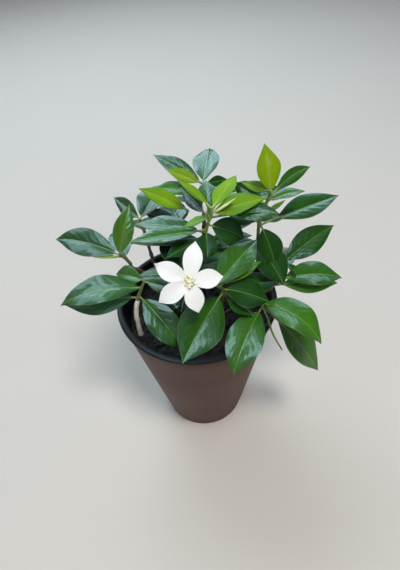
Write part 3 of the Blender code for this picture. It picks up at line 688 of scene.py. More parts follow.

# Each tone gives the leaf's own green by age and also carries painted light and shade: leaves lying in shade
# were given darker tones, and some leaves facing away from the light were given lighter ones
SHOOTS = {
    "leafy_shoot_low_left": (
        [(-40, -20, 157), (-38, -20, 163), (-33, -17, 173)],
        (0.62, 180, -12, -24, 59, 20, 52, 2, 0.26),
        # Painted shade: this leaf lies under the one above it and is given a darker tone for that shade
        (0.15, 170, -12, -40, 54, 23, 15, 5, 0.125),
        (0.25, -44, -40, 42, 46, 22, 30, 4, 0.24),
        (1.00, 145, -15, -50, 24, 14, 25, 3, 0.36),
        (0.90, -30, 5, 45, 24, 10, 15, 3, 0.36),
    ),
    "leafy_shoot_left": (
        [(-44, 3, 170), (-47, 3, 176), (-50, 1, 181)],
        (0.80, 154, -2, -40, 51, 20, 36, 5, 0.16),
        (1.00, 50, 60, 40, 34, 14, 12, 2, 0.50),
        (0.70, 176, 2, 0, 16, 4, 0, 4, 0.78),
        (0.30, 105, -10, 0, 40, 18, 25, 6, 0.20),
    ),
    "leafy_shoot_left_back": (
        [(-33, 27, 174), (-35, 29, 182), (-36, 30, 188)],
        (1.00, 130, 8, -55, 28, 12, 15, 3, 0.15),
        (1.00, 62, 8, 0, 36, 22, 25, 3, 0.15),
        (0.20, 100, -28, 0, 46, 19, 30, 6, 0.12),
        (0.50, 55, -25, 0, 48, 20, 30, 6, 0.12),
    ),
    "leafy_shoot_bloom": (
        [(-4, -6, 160), (-5, -13, 169), (-5, -20, 173)],
        (0.15, -112, -48, 0, 44, 19, 25, 6, 0.16),
        (0.90, 104, 8, 0, 44, 24, 20, 4, 0.10),
        (0.85, 14, -14, 0, 36, 20, 20, 4, 0.12),
        (0.60, 34, -5, 0, 30, 20, 15, 4, 0.10),
        (0.50, 168, -6, 0, 31, 17, 20, 5, 0.14),
    ),
    "leafy_shoot_front": (
        [(18, -22, 158), (18, -27, 168), (13, -32, 178)],
        (0.25, -130, -30, -28, 50, 30, 25, 5, 0.26),
        (1.00, 47, 9, 10, 44, 21, 15, 2, 0.36),
        (0.80, 33, 1, -5, 31, 12, 12, 5, 0.56),
        (0.55, -12, -18, 25, 30, 20, 30, 3, 0.12),
        (0.30, -38, -26, 10, 23, 15, 25, 3, 0.14),
        (0.20, 16, -8, 10, 38, 19, 20, 5, 0.10),
        (0.10, -30, -38, 0, 24, 14, 25, 6, 0.10),
    ),
    "leafy_shoot_front_right": (
        [(34, -14, 144), (40, -22, 149), (46, -29, 153)],
        (1.00, -37, -20, 0, 50, 24, 86, 1, 0.40),
        (1.00, -124, -36, -8, 47, 25, 55, 8, 0.32),
        (0.70, -24, -54, 20, 56, 24, 20, 22, 0.32),
    ),
    "leafy_shoot_right": (
        [(54, -6, 146), (59, -8, 152), (65, 2, 163)],
        (1.00, 22, 24, 39, 41, 19, 24, 2, 0.22),
        (0.95, -25, -50, 0, 24, 11, 15, 3, 0.12),
        (0.40, 8, -14, 15, 46, 21, 40, 5, 0.30),
        (0.10, 1, -6, 45, 40, 16, 15, 8, 0.42),
        (0.50, 75, -20, 0, 50, 21, 30, 6, 0.20),
    ),
    "leafy_shoot_tall": (
        [(46, 8, 172), (45, 4, 184), (45, 3, 195), (47, 2, 207), (50, 1, 218)],
        (0.50, 20, 3, 22, 47, 18, 5, 15, 0.16),
        (0.55, -44, -66, 40, 29, 17, 20, 5, 0.12),
        (0.93, 13, 2, 0, 23, 10, 30, 3, 0.42),
        # Painted light: this leaf faces away from the light and is given a lighter tone
        (0.97, 30, 12, 50, 28, 9, 44, 9, 0.30),
        (0.88, 125, 2, -50, 27, 13, 5, 4, 0.14),
        (0.55, 132, -14, -60, 26, 12, 15, 4, 0.12),
        (0.08, -64, -24, 0, 32, 23, 20, 3, 0.10),
        (0.20, 196, -8, 0, 38, 19, 20, 3, 0.12),
    ),
    "leafy_shoot_top": (
        [(8, 10, 172), (9, 6, 185), (11, 3, 198), (14, 2, 208)],
        (0.53, 160, -3, -5, 46, 17, 20, 6, 0.26),
        (0.61, 190, 2, -2, 44, 16, 8, 7, 0.32),
        (0.92, -22, 11, 20, 28, 13, 18, 18, 0.20),
        (0.75, -10, -25, 40, 24, 18, 20, 3, 0.10),
        (0.36, 170, -8, 0, 48, 16, 13, 6, 0.12),
        (0.25, 20, -14, 0, 28, 14, 15, 10, 0.14),
        (0.30, -20, 6, 40, 22, 10, 10, 3, 0.34),
        (1.00, 175, -25, -5, 18, 8, 10, 2, 0.62),
        (0.90, 125, 15, -50, 26, 11, 10, 6, 0.14),
        (0.80, 88, 24, 0, 27, 15, 28, 5, 0.22),
        (0.60, -92, -22, 0, 18, 14, 12, 2, 0.12),
        (0.36, -150, -3, 0, 28, 17, 15, 3, 0.12),
    ),
    "leafy_shoot_back_left": (
        [(-6, 25, 178), (-6, 23, 188), (-2, 19, 197)],
        (0.40, 146, -5, -60, 28, 12, 10, 5, 0.20),
        (0.20, 105, -15, 0, 48, 20, 25, 6, 0.16),
    ),
    "leafy_shoot_back": (
        [(10, 40, 180), (11, 43, 192), (11, 44, 205)],
        (1.00, 140, 11, -28, 43, 13, 12, 4, 0.15),
        (1.00, 168, 22, -35, 24, 10, 4, 4, 0.76),
        (1.00, 80, 3, -5, 41, 20, 25, 4, 0.14),
        (0.95, 15, -5, 50, 15, 8, 5, 4, 0.12),
        (0.70, 178, 8, -15, 32, 13, 10, 5, 0.36),
        (0.20, 110, -25, 0, 52, 22, 30, 6, 0.14),
        (0.40, 55, -22, 0, 50, 21, 30, 6, 0.14),
    ),
    "leafy_shoot_back_right": (
        [(32, 36, 166), (36, 40, 178), (40, 42, 190)],
        (0.90, 40, -18, 10, 50, 21, 20, 6, 0.20),
        (0.60, 90, -22, 0, 50, 21, 25, 6, 0.20),
        (0.30, 30, -24, 10, 48, 21, 30, 6, 0.20),
        (0.15, 75, -42, 0, 52, 22, 30, 6, 0.20),
    ),
}

YOUNG_TIPS = {
    "young_tip_tall": (
        [(50, 1, 218.3), (51, 0, 223)],
        (1.00, 110, 68, 0, 28, 16, 5, 1, 0.76),
        (0.90, 146, 2, -20, 18, 8, 10, 2, 0.66),
    ),
    "young_tip_side": (
        [(47.8, 3.9, 201.4), (49.5, 5, 202)],
        (1.00, 32, 14, -20, 16, 6, 0, 1, 0.70),
    ),
    "young_tip_top": (
        [(14, 2, 208.3), (15, 2, 213)],
        (1.00, 58, 6, -10, 33, 14, 10, 2, 0.68),
        (0.10, -12, 40, -10, 19, 5, -22, 1, 1.00),
        (0.10, -9, 19, 10, 34, 18, 10, 2, 0.66),
        (0.70, 145, 28, 15, 24, 10, 15, 5, 0.68),
    ),
    "young_tip_back_left": (
        [(-2, 19, 197.3), (-1, 19, 200)],
        (1.00, 158, 18, -30, 34, 12, 15, 3, 0.68),
    ),
}

print("shoots:", len(SHOOTS), "and young tips:", len(YOUNG_TIPS))

# %% Sprig and wood values
# Each bare sprig: its route, and its radius at the foot and at the top
SPRIGS = {
    "leafy_shoot_front_right": ([(44, -27, 152), (47, -36, 146), (50, -43, 137), (57, -45, 121)], 1.0, 0.45),
    "leafy_shoot_bloom": ([(-5, -18, 172.3), (-3.5, -24, 174.6), (-3.1, -26.6, 177.5)], 0.9, 1.6),
    "leafy_shoot_top": ([(13.4, 2.3, 205), (11.4, 1.6, 207.6), (10.5, 1.2, 209.5)], 0.7, 0.9),
}

# Each woody stem: where it stands, its radius at the foot and at the top, its route, and its branches' routes
WOOD = {
    "woody_stem_pale": (
        (-44, -18), 2.0, 1.5,
        [(-43.6, -18.6, 140), (-41.6, -19.5, 151), (-40, -20, 156.7)],
    ),
    "woody_stem_left": (
        (-16, 2), 2.2, 1.4,
        [(-24, 4, 142), (-36, 5, 158), (-43.5, 3, 166), (-44, 3, 169.7)],
        [(-23, 4, 140), (-30, 20, 156), (-33, 26.5, 169), (-33, 27, 173.7)],
    ),
    "woody_stem_centre": (
        (5, 12), 2.4, 1.5,
        [(7, 13, 145), (8, 10, 166), (8, 10, 171.7)],
        [(6, 12.5, 138), (0, 20, 156), (-6, 25, 173), (-6, 25, 177.7)],
    ),
    "woody_stem_right": (
        (24, 6), 2.4, 1.5,
        [(32, 9, 142), (45, 8.5, 164), (46, 8, 171.7)],
        [(25, 6, 125), (40, 1, 131), (53, -6, 140), (54, -6, 145.7)],
    ),
    "woody_stem_back": (
        (9, 30), 2.2, 1.5,
        [(9, 37, 150), (10, 40, 174), (10, 40, 179.7)],
        [(9, 32, 130), (20, 36, 146), (31.5, 36, 160), (32, 36, 165.7)],
    ),
    "woody_stem_front": (
        (12, -14), 2.2, 1.5,
        [(15, -19, 142), (18, -22, 153), (18, -22, 157.7)],
        [(12, -15, 125), (23, -14, 131), (33, -13.8, 139), (34, -14, 143.7)],
        [(12.5, -16, 130), (3, -10, 144), (-3.9, -6, 155), (-4, -6, 159.7)],
    ),
}

print("woody stems:", len(WOOD), "and bare sprigs:", len(SPRIGS))

# %% [markdown]
# ## Stems from curves
# A stem is a tube that thins along a bent route. Extruding a ring step by step makes one too, but a curve
# with a round bevel keeps an even section round every bend and takes a radius at each point, as the swollen
# nodes need. It is turned into a mesh at the end, and its end caps are merged to the wall.

# %% Routes and tubes
def smooth_route(points, step):
    """Points along a smooth curve through the route, about one step apart."""
    knots = [Vector(point) for point in points]
    ends = [knots[0] * 2 - knots[1], *knots, knots[-1] * 2 - knots[-2]]
    route = []
    for before, start, end, after in zip(ends, ends[1:], ends[2:], ends[3:]):
        count = max(1, round((end - start).length / step))
        for index in range(count):
            t = index / count
            pull = (end - before) * (t - 2 * t * t + t**3) / 2 + (after - start) * (t**3 - t * t) / 2
            route.append(start * (1 - 3 * t * t + 2 * t**3) + end * (3 * t * t - 2 * t**3) + pull)
    route.append(knots[-1])
    return route


def point_along(route, share):
    """The point at a share of a route's length."""
    points = smooth_route(route, 5.0)
    spans = [(b - a).length for a, b in zip(points, points[1:])]
    left = share * sum(spans)
    for start, end, span in zip(points, points[1:], spans):
        if left <= span:
            return start.lerp(end, left / span)
        left -= span
    return points[-1]


def tubes(name, lines, finishes, roundness=3):
    """One mesh of tubes. Each line is its points, its radii, and the number of its finish."""
    deselect_all()
    bpy.ops.curve.primitive_bezier_curve_add(location=(0, 0, 0))
    piece = bpy.context.object
    curve = piece.data
    curve.splines.clear()
    curve.dimensions = "3D"
    curve.bevel_depth = MM
    curve.bevel_resolution = roundness
    curve.use_fill_caps = True
    for finish in finishes:
        curve.materials.append(finish)
    for points, radii, finish in lines:
        spline = curve.splines.new("POLY")
        spline.points.add(len(points) - 1)
        for knot, point, radius in zip(spline.points, points, radii):
            knot.co = (*(point * MM), 1)
            knot.radius = radius
        spline.material_index = finish
    bpy.ops.object.convert(target="MESH")
    piece = bpy.context.object
    piece.name = name
    merge_doubles(piece)
    return smooth(piece, 60)


def tapered(points, first, last):
    """A radius for each point, from first to last."""
    return [first + (last - first) * index / (len(points) - 1) for index in range(len(points))]

# %% [markdown]
# ## Woody stems
# The old wood is rough and a little crooked, swollen where a pair of leaves once stood. The tubes get a
# swelling about every 16 mm, then a displacement by a cloud texture roughens them.

# %% Woody stems
SOIL_DEPTH = 11.0
ROUTE_STEP = 1.5
# A branch's radius at its foot and at its end, as shares of the stem's radius at the top
BRANCH_SHARES = (0.95, 0.9)
SWELLING_EVERY = 11
SWELLING_AT = 8
SWELLING = 1.25
BARK_PATCH = 0.0035
BARK_DEPTH = 0.9

bark_clouds = bpy.data.textures.new("bark_clouds", "CLOUDS")
bark_clouds.noise_scale = BARK_PATCH
for name, ((x, y), foot_radius, top_radius, *routes) in WOOD.items():
    stand = [(x, y, SOIL_TOP - SOIL_DEPTH), (x, y, SOIL_TOP - 3), (x, y, SOIL_TOP + 5)]
    pale = name.endswith("pale")
    lines = []
    for number, route in enumerate(routes):
        points = smooth_route(route if number else stand + route, ROUTE_STEP)
        ends = [top_radius * share for share in BRANCH_SHARES] if number else (foot_radius, top_radius)
        radii = tapered(points, *ends)
        for index in range(SWELLING_AT, len(radii), SWELLING_EVERY):
            radii[index] *= SWELLING
        lines.append((points, radii, 0))
    stem = tubes(name + "_bark", lines, [bark_pale if pale else bark_brown], 4)
    bumps = {"texture": bark_clouds, "strength": BARK_DEPTH * MM, "mid_level": 0.5, "texture_coords": "LOCAL"}
    modify(stem, "DISPLACE", **bumps)
    smooth(stem, 70)
    stand_for(stem, "bark_pale" if pale else "bark_brown", name)
    print(name, len(stem.data.polygons), "faces")

# %% [markdown]
# ## The leaf blade
# A blade is folded a little along its midrib, bends down to its tip and swells gently between the side
# veins. A flat outline would look like paper. Here one fine grid is the master, and the points of each copy
# are moved onto the leaf's own form. The same step writes the attributes that the vein pattern reads, so
# that shape and colour agree.

# %% Master blade
BLADE_COLUMNS = 18
BLADE_ROWS = 44
BLADE_THICKNESS = 0.55
MIDRIB_CROWDING = 1.25
FOLD = tan(radians(18))  # the slope of a blade's halves beside the midrib
VEIN_PAIRS = 7

deselect_all()
bpy.ops.mesh.primitive_grid_add(x_subdivisions=BLADE_COLUMNS, y_subdivisions=BLADE_ROWS, size=2)
master_blade = bpy.context.object
master_blade.name = "master_blade"
master_cells = [
    (copysign(abs(point.co.x) ** MIDRIB_CROWDING, point.co.x), round((point.co.y + 1) / 2, 6))
    for point in master_blade.data.vertices
]
print("master blade:", len(master_cells), "points")

# %% Leaf form
def blade_width(share):
    """The half width of a leaf's outline at a share of its length. The tip is drawn out."""
    return sin(pi * share**0.92) ** 0.88 * (1 - 0.12 * share**3) * (1 - 0.52 * share**7)


def leaf_frame(leaf, base, share):
    """The centre, the right-hand side and the upper side of a blade at a share of its length."""
    heading, rise, roll, droop = (radians(a) for a in (leaf.heading, leaf.rise, leaf.roll, leaf.droop))
    flat = Vector((cos(heading), sin(heading), 0))
    side = Vector((sin(heading), -cos(heading), 0))
    first = rise + droop / 2
    slope = first - droop * share
    forward = leaf.length * share * cos(rise)
    height = leaf.length * share * sin(rise)
    if droop:
        forward = leaf.length * (sin(first) - sin(slope)) / droop
        height = leaf.length * (cos(slope) - cos(first)) / droop
    centre = base + flat * forward + Vector((0, 0, height))
    upper = Vector((0, 0, cos(slope))) - flat * sin(slope)
    return centre, side * cos(roll) - upper * sin(roll), upper * cos(roll) + side * sin(roll)


def direction(heading, rise):
    """The way that a heading and a rise in degrees point."""
    turn, climb = radians(heading), radians(rise)
    return Vector((cos(climb) * cos(turn), cos(climb) * sin(turn), sin(climb)))


def stalk_end(leaf, root):
    """Where the blade starts, at the end of its stalk."""
    return root + direction(leaf.heading, leaf.rise + leaf.droop / 2) * leaf.stalk

# %% Copy and bend one blade
STALK_HALF_WIDTH = 0.75
VEIN_LEAN = 0.75
VEIN_CURL = 0.45
FIRST_VEIN = 0.35
GROOVE_DEPTH = 0.4
GROOVE_WIDTH = 1.1
SWELL_HEIGHT = 0.3


def bent_blade(leaf, root, draw, finishes, dull):
    """A copy of the master blade on this leaf's form, with the attributes that the vein pattern reads."""
    blade = copy_of(master_blade, *finishes)
    for face in blade.data.polygons:
        face.material_index = 2 if dull else 0
    base = stalk_end(leaf, root)
    wave = draw.uniform(0.35, 0.8) * leaf.width / 22
    turns = draw.uniform(1.6, 2.6)
    starts = (draw.uniform(0, tau), draw.uniform(0, tau))
    luck = draw.random()
    slender = leaf.width / 2 / leaf.length
    pattern = blade.data.attributes.new("blade", "FLOAT_VECTOR", "POINT")
    tint = blade.data.attributes.new("tint", "FLOAT_VECTOR", "POINT")
    frames = {share: leaf_frame(leaf, base, share) for share in {share for _, share in master_cells}}
    for index, (across, share) in enumerate(master_cells):
        centre, side, upper = frames[share]
        half = leaf.width / 2 * blade_width(share) + STALK_HALF_WIDTH * (1 - share) ** 12
        reach = abs(across)
        vein = VEIN_PAIRS * (share - (VEIN_LEAN * reach + VEIN_CURL * reach * reach) * slender) + FIRST_VEIN
        away = reach * half
        middle = sin(pi * share)
        lift = half * FOLD * (reach - 0.55 * reach * reach)
        lift -= GROOVE_DEPTH * exp(-((away / GROOVE_WIDTH) ** 2)) * (1 - share)
        lift += SWELL_HEIGHT * sin(pi * (vein % 1)) ** 0.8 * sin(pi * reach) * middle
        start = starts[0] if across < 0 else starts[1]
        lift += wave * reach**3 * sin(tau * turns * share + start) * middle
        blade.data.vertices[index].co = (centre + side * (half * across) + upper * lift) * MM
        pattern.data[index].vector = (vein, away, share)
        tint.data[index].vector = (leaf.tone, reach, luck)
    return blade

# %% [markdown]
# ## Leafy shoots
# Each shoot is one piece: its stem, the stalks, the blades, and its bare sprig if it has one. The stalk of a
# leaf runs on under the blade as its raised midrib and thins out towards the tip. The blades are joined and
# given their thickness downwards by a Solidify modifier, whose lower face takes the paler finish. Leaves with
# a very dark or a lime tone take the duller finish.

# %% Build the shoots
SHOOT_RADIUS = 1.3
TIP_RADIUS = 0.95
NODE_SWELLING = 1.12
STALK_RADIUS = 0.85
STALK_STEPS = 13
MIDRIB_RADIUS = 0.6
MIDRIB_TAPER = 0.42
MIDRIB_SINK = 0.45
MIDRIB_DROP = 0.55
SHADED_TONE = 0.13
LIME_TONE = 0.6
FRESH_STEMS = ("leafy_shoot_top", "young_tip_top")


def stalk_line(leaf, root):
    """The stalk and the midrib under the blade, as points and radii."""
    base = stalk_end(leaf, root)
    points, radii = [root, base], [STALK_RADIUS, MIDRIB_RADIUS]
    for step in range(1, STALK_STEPS - 1):
        share = step / STALK_STEPS
        centre, _, upper = leaf_frame(leaf, base, share)
        radius = MIDRIB_RADIUS - MIDRIB_TAPER * share
        points.append(centre - upper * (MIDRIB_SINK + radius * MIDRIB_DROP))
        radii.append(radius)
    return points, radii, 0


def dress_shoot(name, route, leaves, blade_finishes, stem_finishes, thick, slot, seed):
    """Builds one shoot with its leaves and lets it stand for its node."""
    draw = random.Random(seed)
    points = smooth_route(route, 2.0)
    radii = tapered(points, thick, TIP_RADIUS)
    lines = [(points, radii, 1)]
    blades = []
    for leaf in leaves:
        radii[round(min(leaf.at, 0.98) * (len(points) - 1))] *= NODE_SWELLING
        root = point_along(route, min(leaf.at, 0.95))
        lines.append(stalk_line(leaf, root))
        dull = not SHADED_TONE <= leaf.tone <= LIME_TONE
        blades.append(bent_blade(leaf, root, draw, blade_finishes, dull))
    if name in SPRIGS:
        sprig_route, first, last = SPRIGS[name]
        sprig = smooth_route(sprig_route, 2.0)
        lines.append((sprig, tapered(sprig, first, last), 1))
    foliage = join(name + "_blades", blades)
    edit_all(foliage)
    bpy.ops.mesh.remove_doubles(threshold=1e-6)
    bpy.ops.object.mode_set(mode="OBJECT")
    modify(foliage, "SOLIDIFY", thickness=BLADE_THICKNESS * MM, offset=-1.0, material_offset=1)
    stem = tubes(name + "_stem", lines, stem_finishes)
    piece = join(name + "_dressed", [foliage, stem])
    smooth(piece, 60)
    return stand_for(piece, slot, name)


# Each kind: its plan, its blades' finishes, its stem's finish and radius, its slot and its first seed
KINDS = (
    (SHOOTS, (leaf_upper, leaf_under, dull_upper, leaf_under), shoot_green, SHOOT_RADIUS, "leaf_green", 0),
    (YOUNG_TIPS, (young_upper, young_under) * 2, stalk_green, TIP_RADIUS, "young_leaf_green", 50),
)
leaf_count = 0
for plan, blade_finishes, usual_finish, thick, slot, first_seed in KINDS:
    for seed, (name, (route, *rows)) in enumerate(plan.items(), first_seed):
        leaves = [Leaf(*row) for row in rows]
        stem_finish = fresh_green if name in FRESH_STEMS else usual_finish
        stem_finishes = [stalk_green if plan is SHOOTS else stem_finish, stem_finish]
        piece = dress_shoot(name, route, leaves, blade_finishes, stem_finishes, thick, slot, seed)
        leaf_count += len(leaves)
        print(piece.name, len(leaves), "leaves,", len(piece.data.polygons), "faces")
bpy.data.objects.remove(master_blade)
print("leaves:", leaf_count)

# %% [markdown]
# ## The bloom
# The open flower has five broad, pointed petals like a pinwheel, on a slim tube. They are all copies of one
# small grid, bent onto each petal's place, and the petals' ends curl back a little. In the throat stand
# crumpled cream lobes with yellow anthers between them, each a squashed and ruffled ball.

# %% Bloom values
BLOOM_CENTRE = (-3.1, -36, 186.9)
BLOOM_HEADING = -90
BLOOM_RISE = 45
BLOOM_TUBE = 13.0
BLOOM_TUBE_RADIUS = 1.3
BLOOM_MOUTH_RADIUS = 2.2
BLOOM_TUBE_STEPS = 8
PETAL_WIDTH = 12.0
PETAL_THICKNESS = 0.5
PETAL_COLUMNS = 14
PETAL_ROWS = 26
PETAL_LINES = 5
PETAL_FOOT = 0.6
PETAL_ARCH = 1.5
PETAL_CURL = 1.2
PETAL_CUP = 0.12
PETAL_TWIST = 0.5
PETAL_CREASE = 0.25
CREASE_WIDTH = 0.9
# Each petal: its way round in degrees and its length
PETALS = ((4, 21), (77, 25), (149, 24), (210, 23), (282, 20))
THROAT_LIFT = 3.0
THROAT_RUFFLE = 0.4

facing = direction(BLOOM_HEADING, BLOOM_RISE)
bloom_right = Vector((-sin(radians(BLOOM_HEADING)), cos(radians(BLOOM_HEADING)), 0))
bloom_up = facing.cross(bloom_right)
bloom_centre = Vector(BLOOM_CENTRE)


def bloom_way(angle):
    """The way from the bloom's middle to its edge, at an angle in degrees seen from the front."""
    turn = radians(angle)
    return bloom_right * cos(turn) + bloom_up * sin(turn)


def petal_width(share):
    """The half width of a petal's outline, narrow at the throat and broad past the middle."""
    return (0.22 + 0.78 * sin(pi * share**1.15) ** 0.8) * (1 - share**9)


print("the bloom faces:", [round(value, 2) for value in facing])

# %% Petals
deselect_all()
bpy.ops.mesh.primitive_grid_add(x_subdivisions=PETAL_COLUMNS, y_subdivisions=PETAL_ROWS, size=2)
master_petal = bpy.context.object
petal_cells = [(point.co.x, (point.co.y + 1) / 2) for point in master_petal.data.vertices]
petals = []
petal_draw = random.Random(3)
for angle, length in PETALS:
    out = bloom_way(angle)
    side = out.cross(facing)
    petal = copy_of(master_petal, petal_white)
    pattern = petal.data.attributes.new("blade", "FLOAT_VECTOR", "POINT")
    wave, start = petal_draw.uniform(0.2, 0.4), petal_draw.uniform(0, tau)
    for index, (across, share) in enumerate(petal_cells):
        half = PETAL_WIDTH / 2 * petal_width(share)
        lift = PETAL_ARCH * sin(pi * share) - PETAL_CURL * share * share
        cup = PETAL_CUP * half * across * across + PETAL_TWIST * across * share
        ripple = wave * abs(across) ** 3 * sin(5 * share + start + across)
        crease = -PETAL_CREASE * exp(-((across * half / CREASE_WIDTH) ** 2)) * (1 - share)
        place = bloom_centre + out * (PETAL_FOOT + (length - PETAL_FOOT) * share) + side * (half * across)
        petal.data.vertices[index].co = (place + facing * (lift + cup + ripple + crease)) * MM
        pattern.data[index].vector = (across * PETAL_LINES, abs(across) * half, share)
    petals.append(petal)
bpy.data.objects.remove(master_petal)
corolla = join("corolla", petals)
merge_doubles(corolla)
modify(corolla, "SOLIDIFY", thickness=PETAL_THICKNESS * MM, offset=0.0)
tube_shares = [step / BLOOM_TUBE_STEPS for step in range(BLOOM_TUBE_STEPS + 1)]
tube_points = [bloom_centre - facing * BLOOM_TUBE * (1 - share) for share in tube_shares]
tube_radii = tapered(tube_points, BLOOM_TUBE_RADIUS, BLOOM_MOUTH_RADIUS)
tube = tubes("bloom_tube", [(tube_points, tube_radii, 0)], [petal_white], 5)
corolla = join("bloom_petals_dressed", [corolla, tube])
smooth(corolla, 60)
stand_for(corolla, "petal_white", "bloom_petals")
print("petals:", len(PETALS))

# %% Throat and anthers
RUFFLE_WAVES = 5


def ruffled_ball(radius, place, stretch, ruffle, draw, finish):
    """A small ball, stretched along the way it faces and ruffled by a few seeded waves."""
    deselect_all()
    bpy.ops.mesh.primitive_ico_sphere_add(subdivisions=4, radius=1)
    ball = bpy.context.object
    waves = []
    for _ in range(RUFFLE_WAVES):
        way = Vector([draw.uniform(-1, 1) for _ in range(3)]).normalized()
        waves.append((way, draw.uniform(4, 9), draw.uniform(0, tau)))
    for point in ball.data.vertices:
        normal = point.co.normalized()
        push = sum(sin(pitch * normal.dot(way) + start) for way, pitch, start in waves) / RUFFLE_WAVES
        point.co = normal * (1 + ruffle * push)
    lie = stretch.normalized().to_track_quat("Z", "Y").to_matrix().to_4x4()
    size = Matrix.Diagonal((radius, radius, radius * stretch.length, 1))
    ball.data.transform(Matrix.Scale(MM, 4) @ Matrix.Translation(place) @ lie @ size)
    ball.data.materials.append(finish)
    return ball


# Each lobe: its angle, how far out and forward it stands, its radius, its stretch and its finish
THROAT_LOBES = (
    (95, 2.9, -0.4, 1.00, 1.6, throat_cream),
    (62, 2.3, 0.2, 0.80, 1.5, throat_cream),
    (28, 3.1, -0.2, 0.95, 1.4, throat_cream),
    (2, 2.0, 0.5, 0.75, 1.6, throat_cream),
    (-24, 3.2, -0.5, 0.90, 1.3, throat_cream),
    (-62, 2.4, 0.1, 0.85, 1.6, throat_cream),
    (-92, 3.2, -0.5, 1.00, 1.5, throat_cream),
    (142, 2.6, -1.0, 0.90, 1.2, throat_cream),
    (218, 2.8, -1.1, 0.95, 1.2, throat_cream),
    (180, 1.2, 0.0, 1.05, 1.2, anther_yellow),
    (-38, 1.1, 0.4, 0.40, 2.0, anther_yellow),
    (70, 1.0, 0.3, 0.35, 2.0, anther_yellow),
    (-90, 0.3, -0.3, 1.80, 0.6, throat_cream),
)
throat_draw = random.Random(9)
throat_middle = bloom_centre + facing * THROAT_LIFT
lobes = []
for angle, distance, forward, radius, stretch, finish in THROAT_LOBES:
    out = bloom_way(angle)
    place = throat_middle + out * distance + facing * forward
    lie = (out * 0.6 + facing * 0.8).normalized() * stretch
    lobes.append(ruffled_ball(radius, place, lie, THROAT_RUFFLE, throat_draw, finish))
throat = join("bloom_throat_dressed", lobes)
smooth(throat, 80)
stand_for(throat, "throat_cream", "bloom_throat")
print("throat:", len(lobes), "lobes and anthers")

# %% [markdown]
# ## The bud
# The closed bud near the top is a slim spindle whose petals are rolled round each other. A ball is stretched
# and its surface twisted into shallow spiral folds.

# %% Bud
BUD_FOOT = (10.4, 1.2, 209.9)
BUD_RADIUS = 1.3
BUD_LENGTH = 8.0
BUD_TILT = -8
BUD_FOLDS = 5
BUD_FOLD_DEPTH = 0.10
BUD_SEGMENTS = 40
BUD_RINGS = 28
BUD_TWIST = 3.2
BUD_NARROWING = 0.18

deselect_all()
bpy.ops.mesh.primitive_uv_sphere_add(segments=BUD_SEGMENTS, ring_count=BUD_RINGS, radius=1)
bud = bpy.context.object
for point in bud.data.vertices:
    height = point.co.z
    turn = atan2(point.co.y, point.co.x)
    fold = 1 + BUD_FOLD_DEPTH * sin(BUD_FOLDS * turn + BUD_TWIST * height) * (1 - height * height)
    point.co.x *= fold * (1 - BUD_NARROWING * height)
    point.co.y *= fold * (1 - BUD_NARROWING * height)
lean = Matrix.Rotation(radians(BUD_TILT), 4, "Y")
bud_middle = Vector(BUD_FOOT) + lean @ Vector((0, 0, BUD_LENGTH / 2))
bud_size = Matrix.Diagonal((BUD_RADIUS, BUD_RADIUS, BUD_LENGTH / 2, 1))
bud.data.transform(Matrix.Scale(MM, 4) @ Matrix.Translation(bud_middle) @ lean @ bud_size)
bud.name = "flower_bud_dressed"
bud.data.materials.append(bud_white)
smooth(bud, 80)
stand_for(bud, "bud_white", "flower_bud")
print("bud folds:", BUD_FOLDS)

# %% [markdown]
# ## Floor and light
# The plant stands on a plain pale floor in soft light. Outdoors the open sky lies on the waxy leaves as a
# pale blue sheen. One big panel could give it, but it would also wash out the greens. So the sky is split in
# two: a ring of blue panels, most of them behind, shows in reflections only, and three softer panels light
# the colours and show in no reflection. The sheen falls on the leaves that face the sky, the rest stay green.

# %% Stage and lights
AIM_HEIGHT = 0.15
SHEEN_DISTANCE = 1.45
SHEEN_COLOUR = (0.58, 0.86, 1.0)
SKY_COLOUR = (0.80, 0.87, 1.0)
SKY_STRENGTH = 0.15

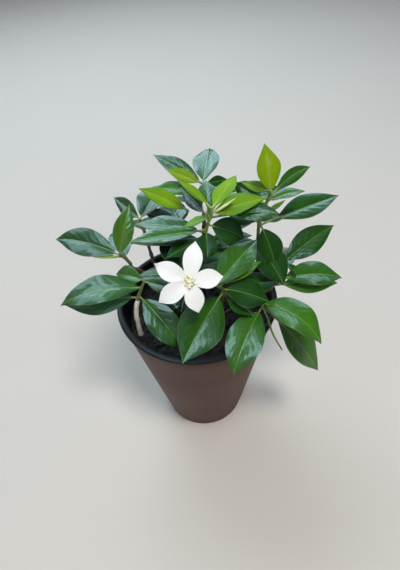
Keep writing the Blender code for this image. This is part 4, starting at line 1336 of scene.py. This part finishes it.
deselect_all()
bpy.ops.mesh.primitive_plane_add(size=8, location=(0, 0, 0))
floor = bpy.context.object
floor.name = "floor"
floor_material, floor_tree, floor_shader = new_material("floor_pale", 0.85)
floor_colour = mix_colour(floor_tree, noise(floor_tree, 3.0), (0.62, 0.58, 0.54), (0.66, 0.62, 0.58))
feed(floor_tree, floor_shader, Base_Color=floor_colour)
floor.data.materials.append(floor_material)


def panel(name, place, size, power, colour):
    """A square light panel that faces the plant."""
    deselect_all()
    aim = (Vector(place) - Vector((0, 0, AIM_HEIGHT))).to_track_quat("Z", "Y").to_euler()
    bpy.ops.object.light_add(type="AREA", location=place, rotation=aim)
    light = bpy.context.object
    light.name = name
    light.data.shape = "SQUARE"
    light.data.size = size
    light.data.energy = power
    light.data.color = colour
    return light


# Each sheen panel: its bearing from the back and its height in degrees, its size and its power
SHEENS = [
    (-78, 47, 0.9, 13),
    (-38, 38, 1.0, 16),
    (2, 34, 1.0, 16),
    (42, 38, 0.8, 9),
    (-118, 58, 0.45, 5),
    (-146, 37, 0.8, 18),
]
for number, (bearing, height, size, power) in enumerate(SHEENS):
    turn, climb = radians(bearing), radians(height)
    reach = SHEEN_DISTANCE * cos(climb)
    place = (reach * sin(turn), reach * cos(turn), AIM_HEIGHT + SHEEN_DISTANCE * sin(climb))
    panel(f"sky_sheen_{number}", place, size, power, SHEEN_COLOUR).visible_diffuse = False

# Each softer panel: its name, its place, its size, its power and its colour
PANELS = [
    ("sky_panel", (-0.35, 0.95, 1.25), 0.9, 12, (0.80, 0.92, 1.0)),
    ("top_panel", (0.25, -0.45, 1.5), 0.35, 15, (1.0, 0.97, 0.92)),
    ("front_panel", (0.3, -1.3, 0.8), 0.4, 3, (1.0, 0.96, 0.90)),
]
for values in PANELS:
    panel(*values).visible_glossy = False
world = bpy.data.worlds.new("soft_sky")
world.use_nodes = True
background = world.node_tree.nodes["Background"]
background.inputs["Color"].default_value = (*SKY_COLOUR, 1)
background.inputs["Strength"].default_value = SKY_STRENGTH
bpy.context.scene.world = world
bpy.context.scene.view_settings.view_transform = "Standard"
print("lights:", len(PANELS) + len(SHEENS))

# %% [markdown]
# ## The end
# At the end, nothing is left selected.

# %% The end
deselect_all()
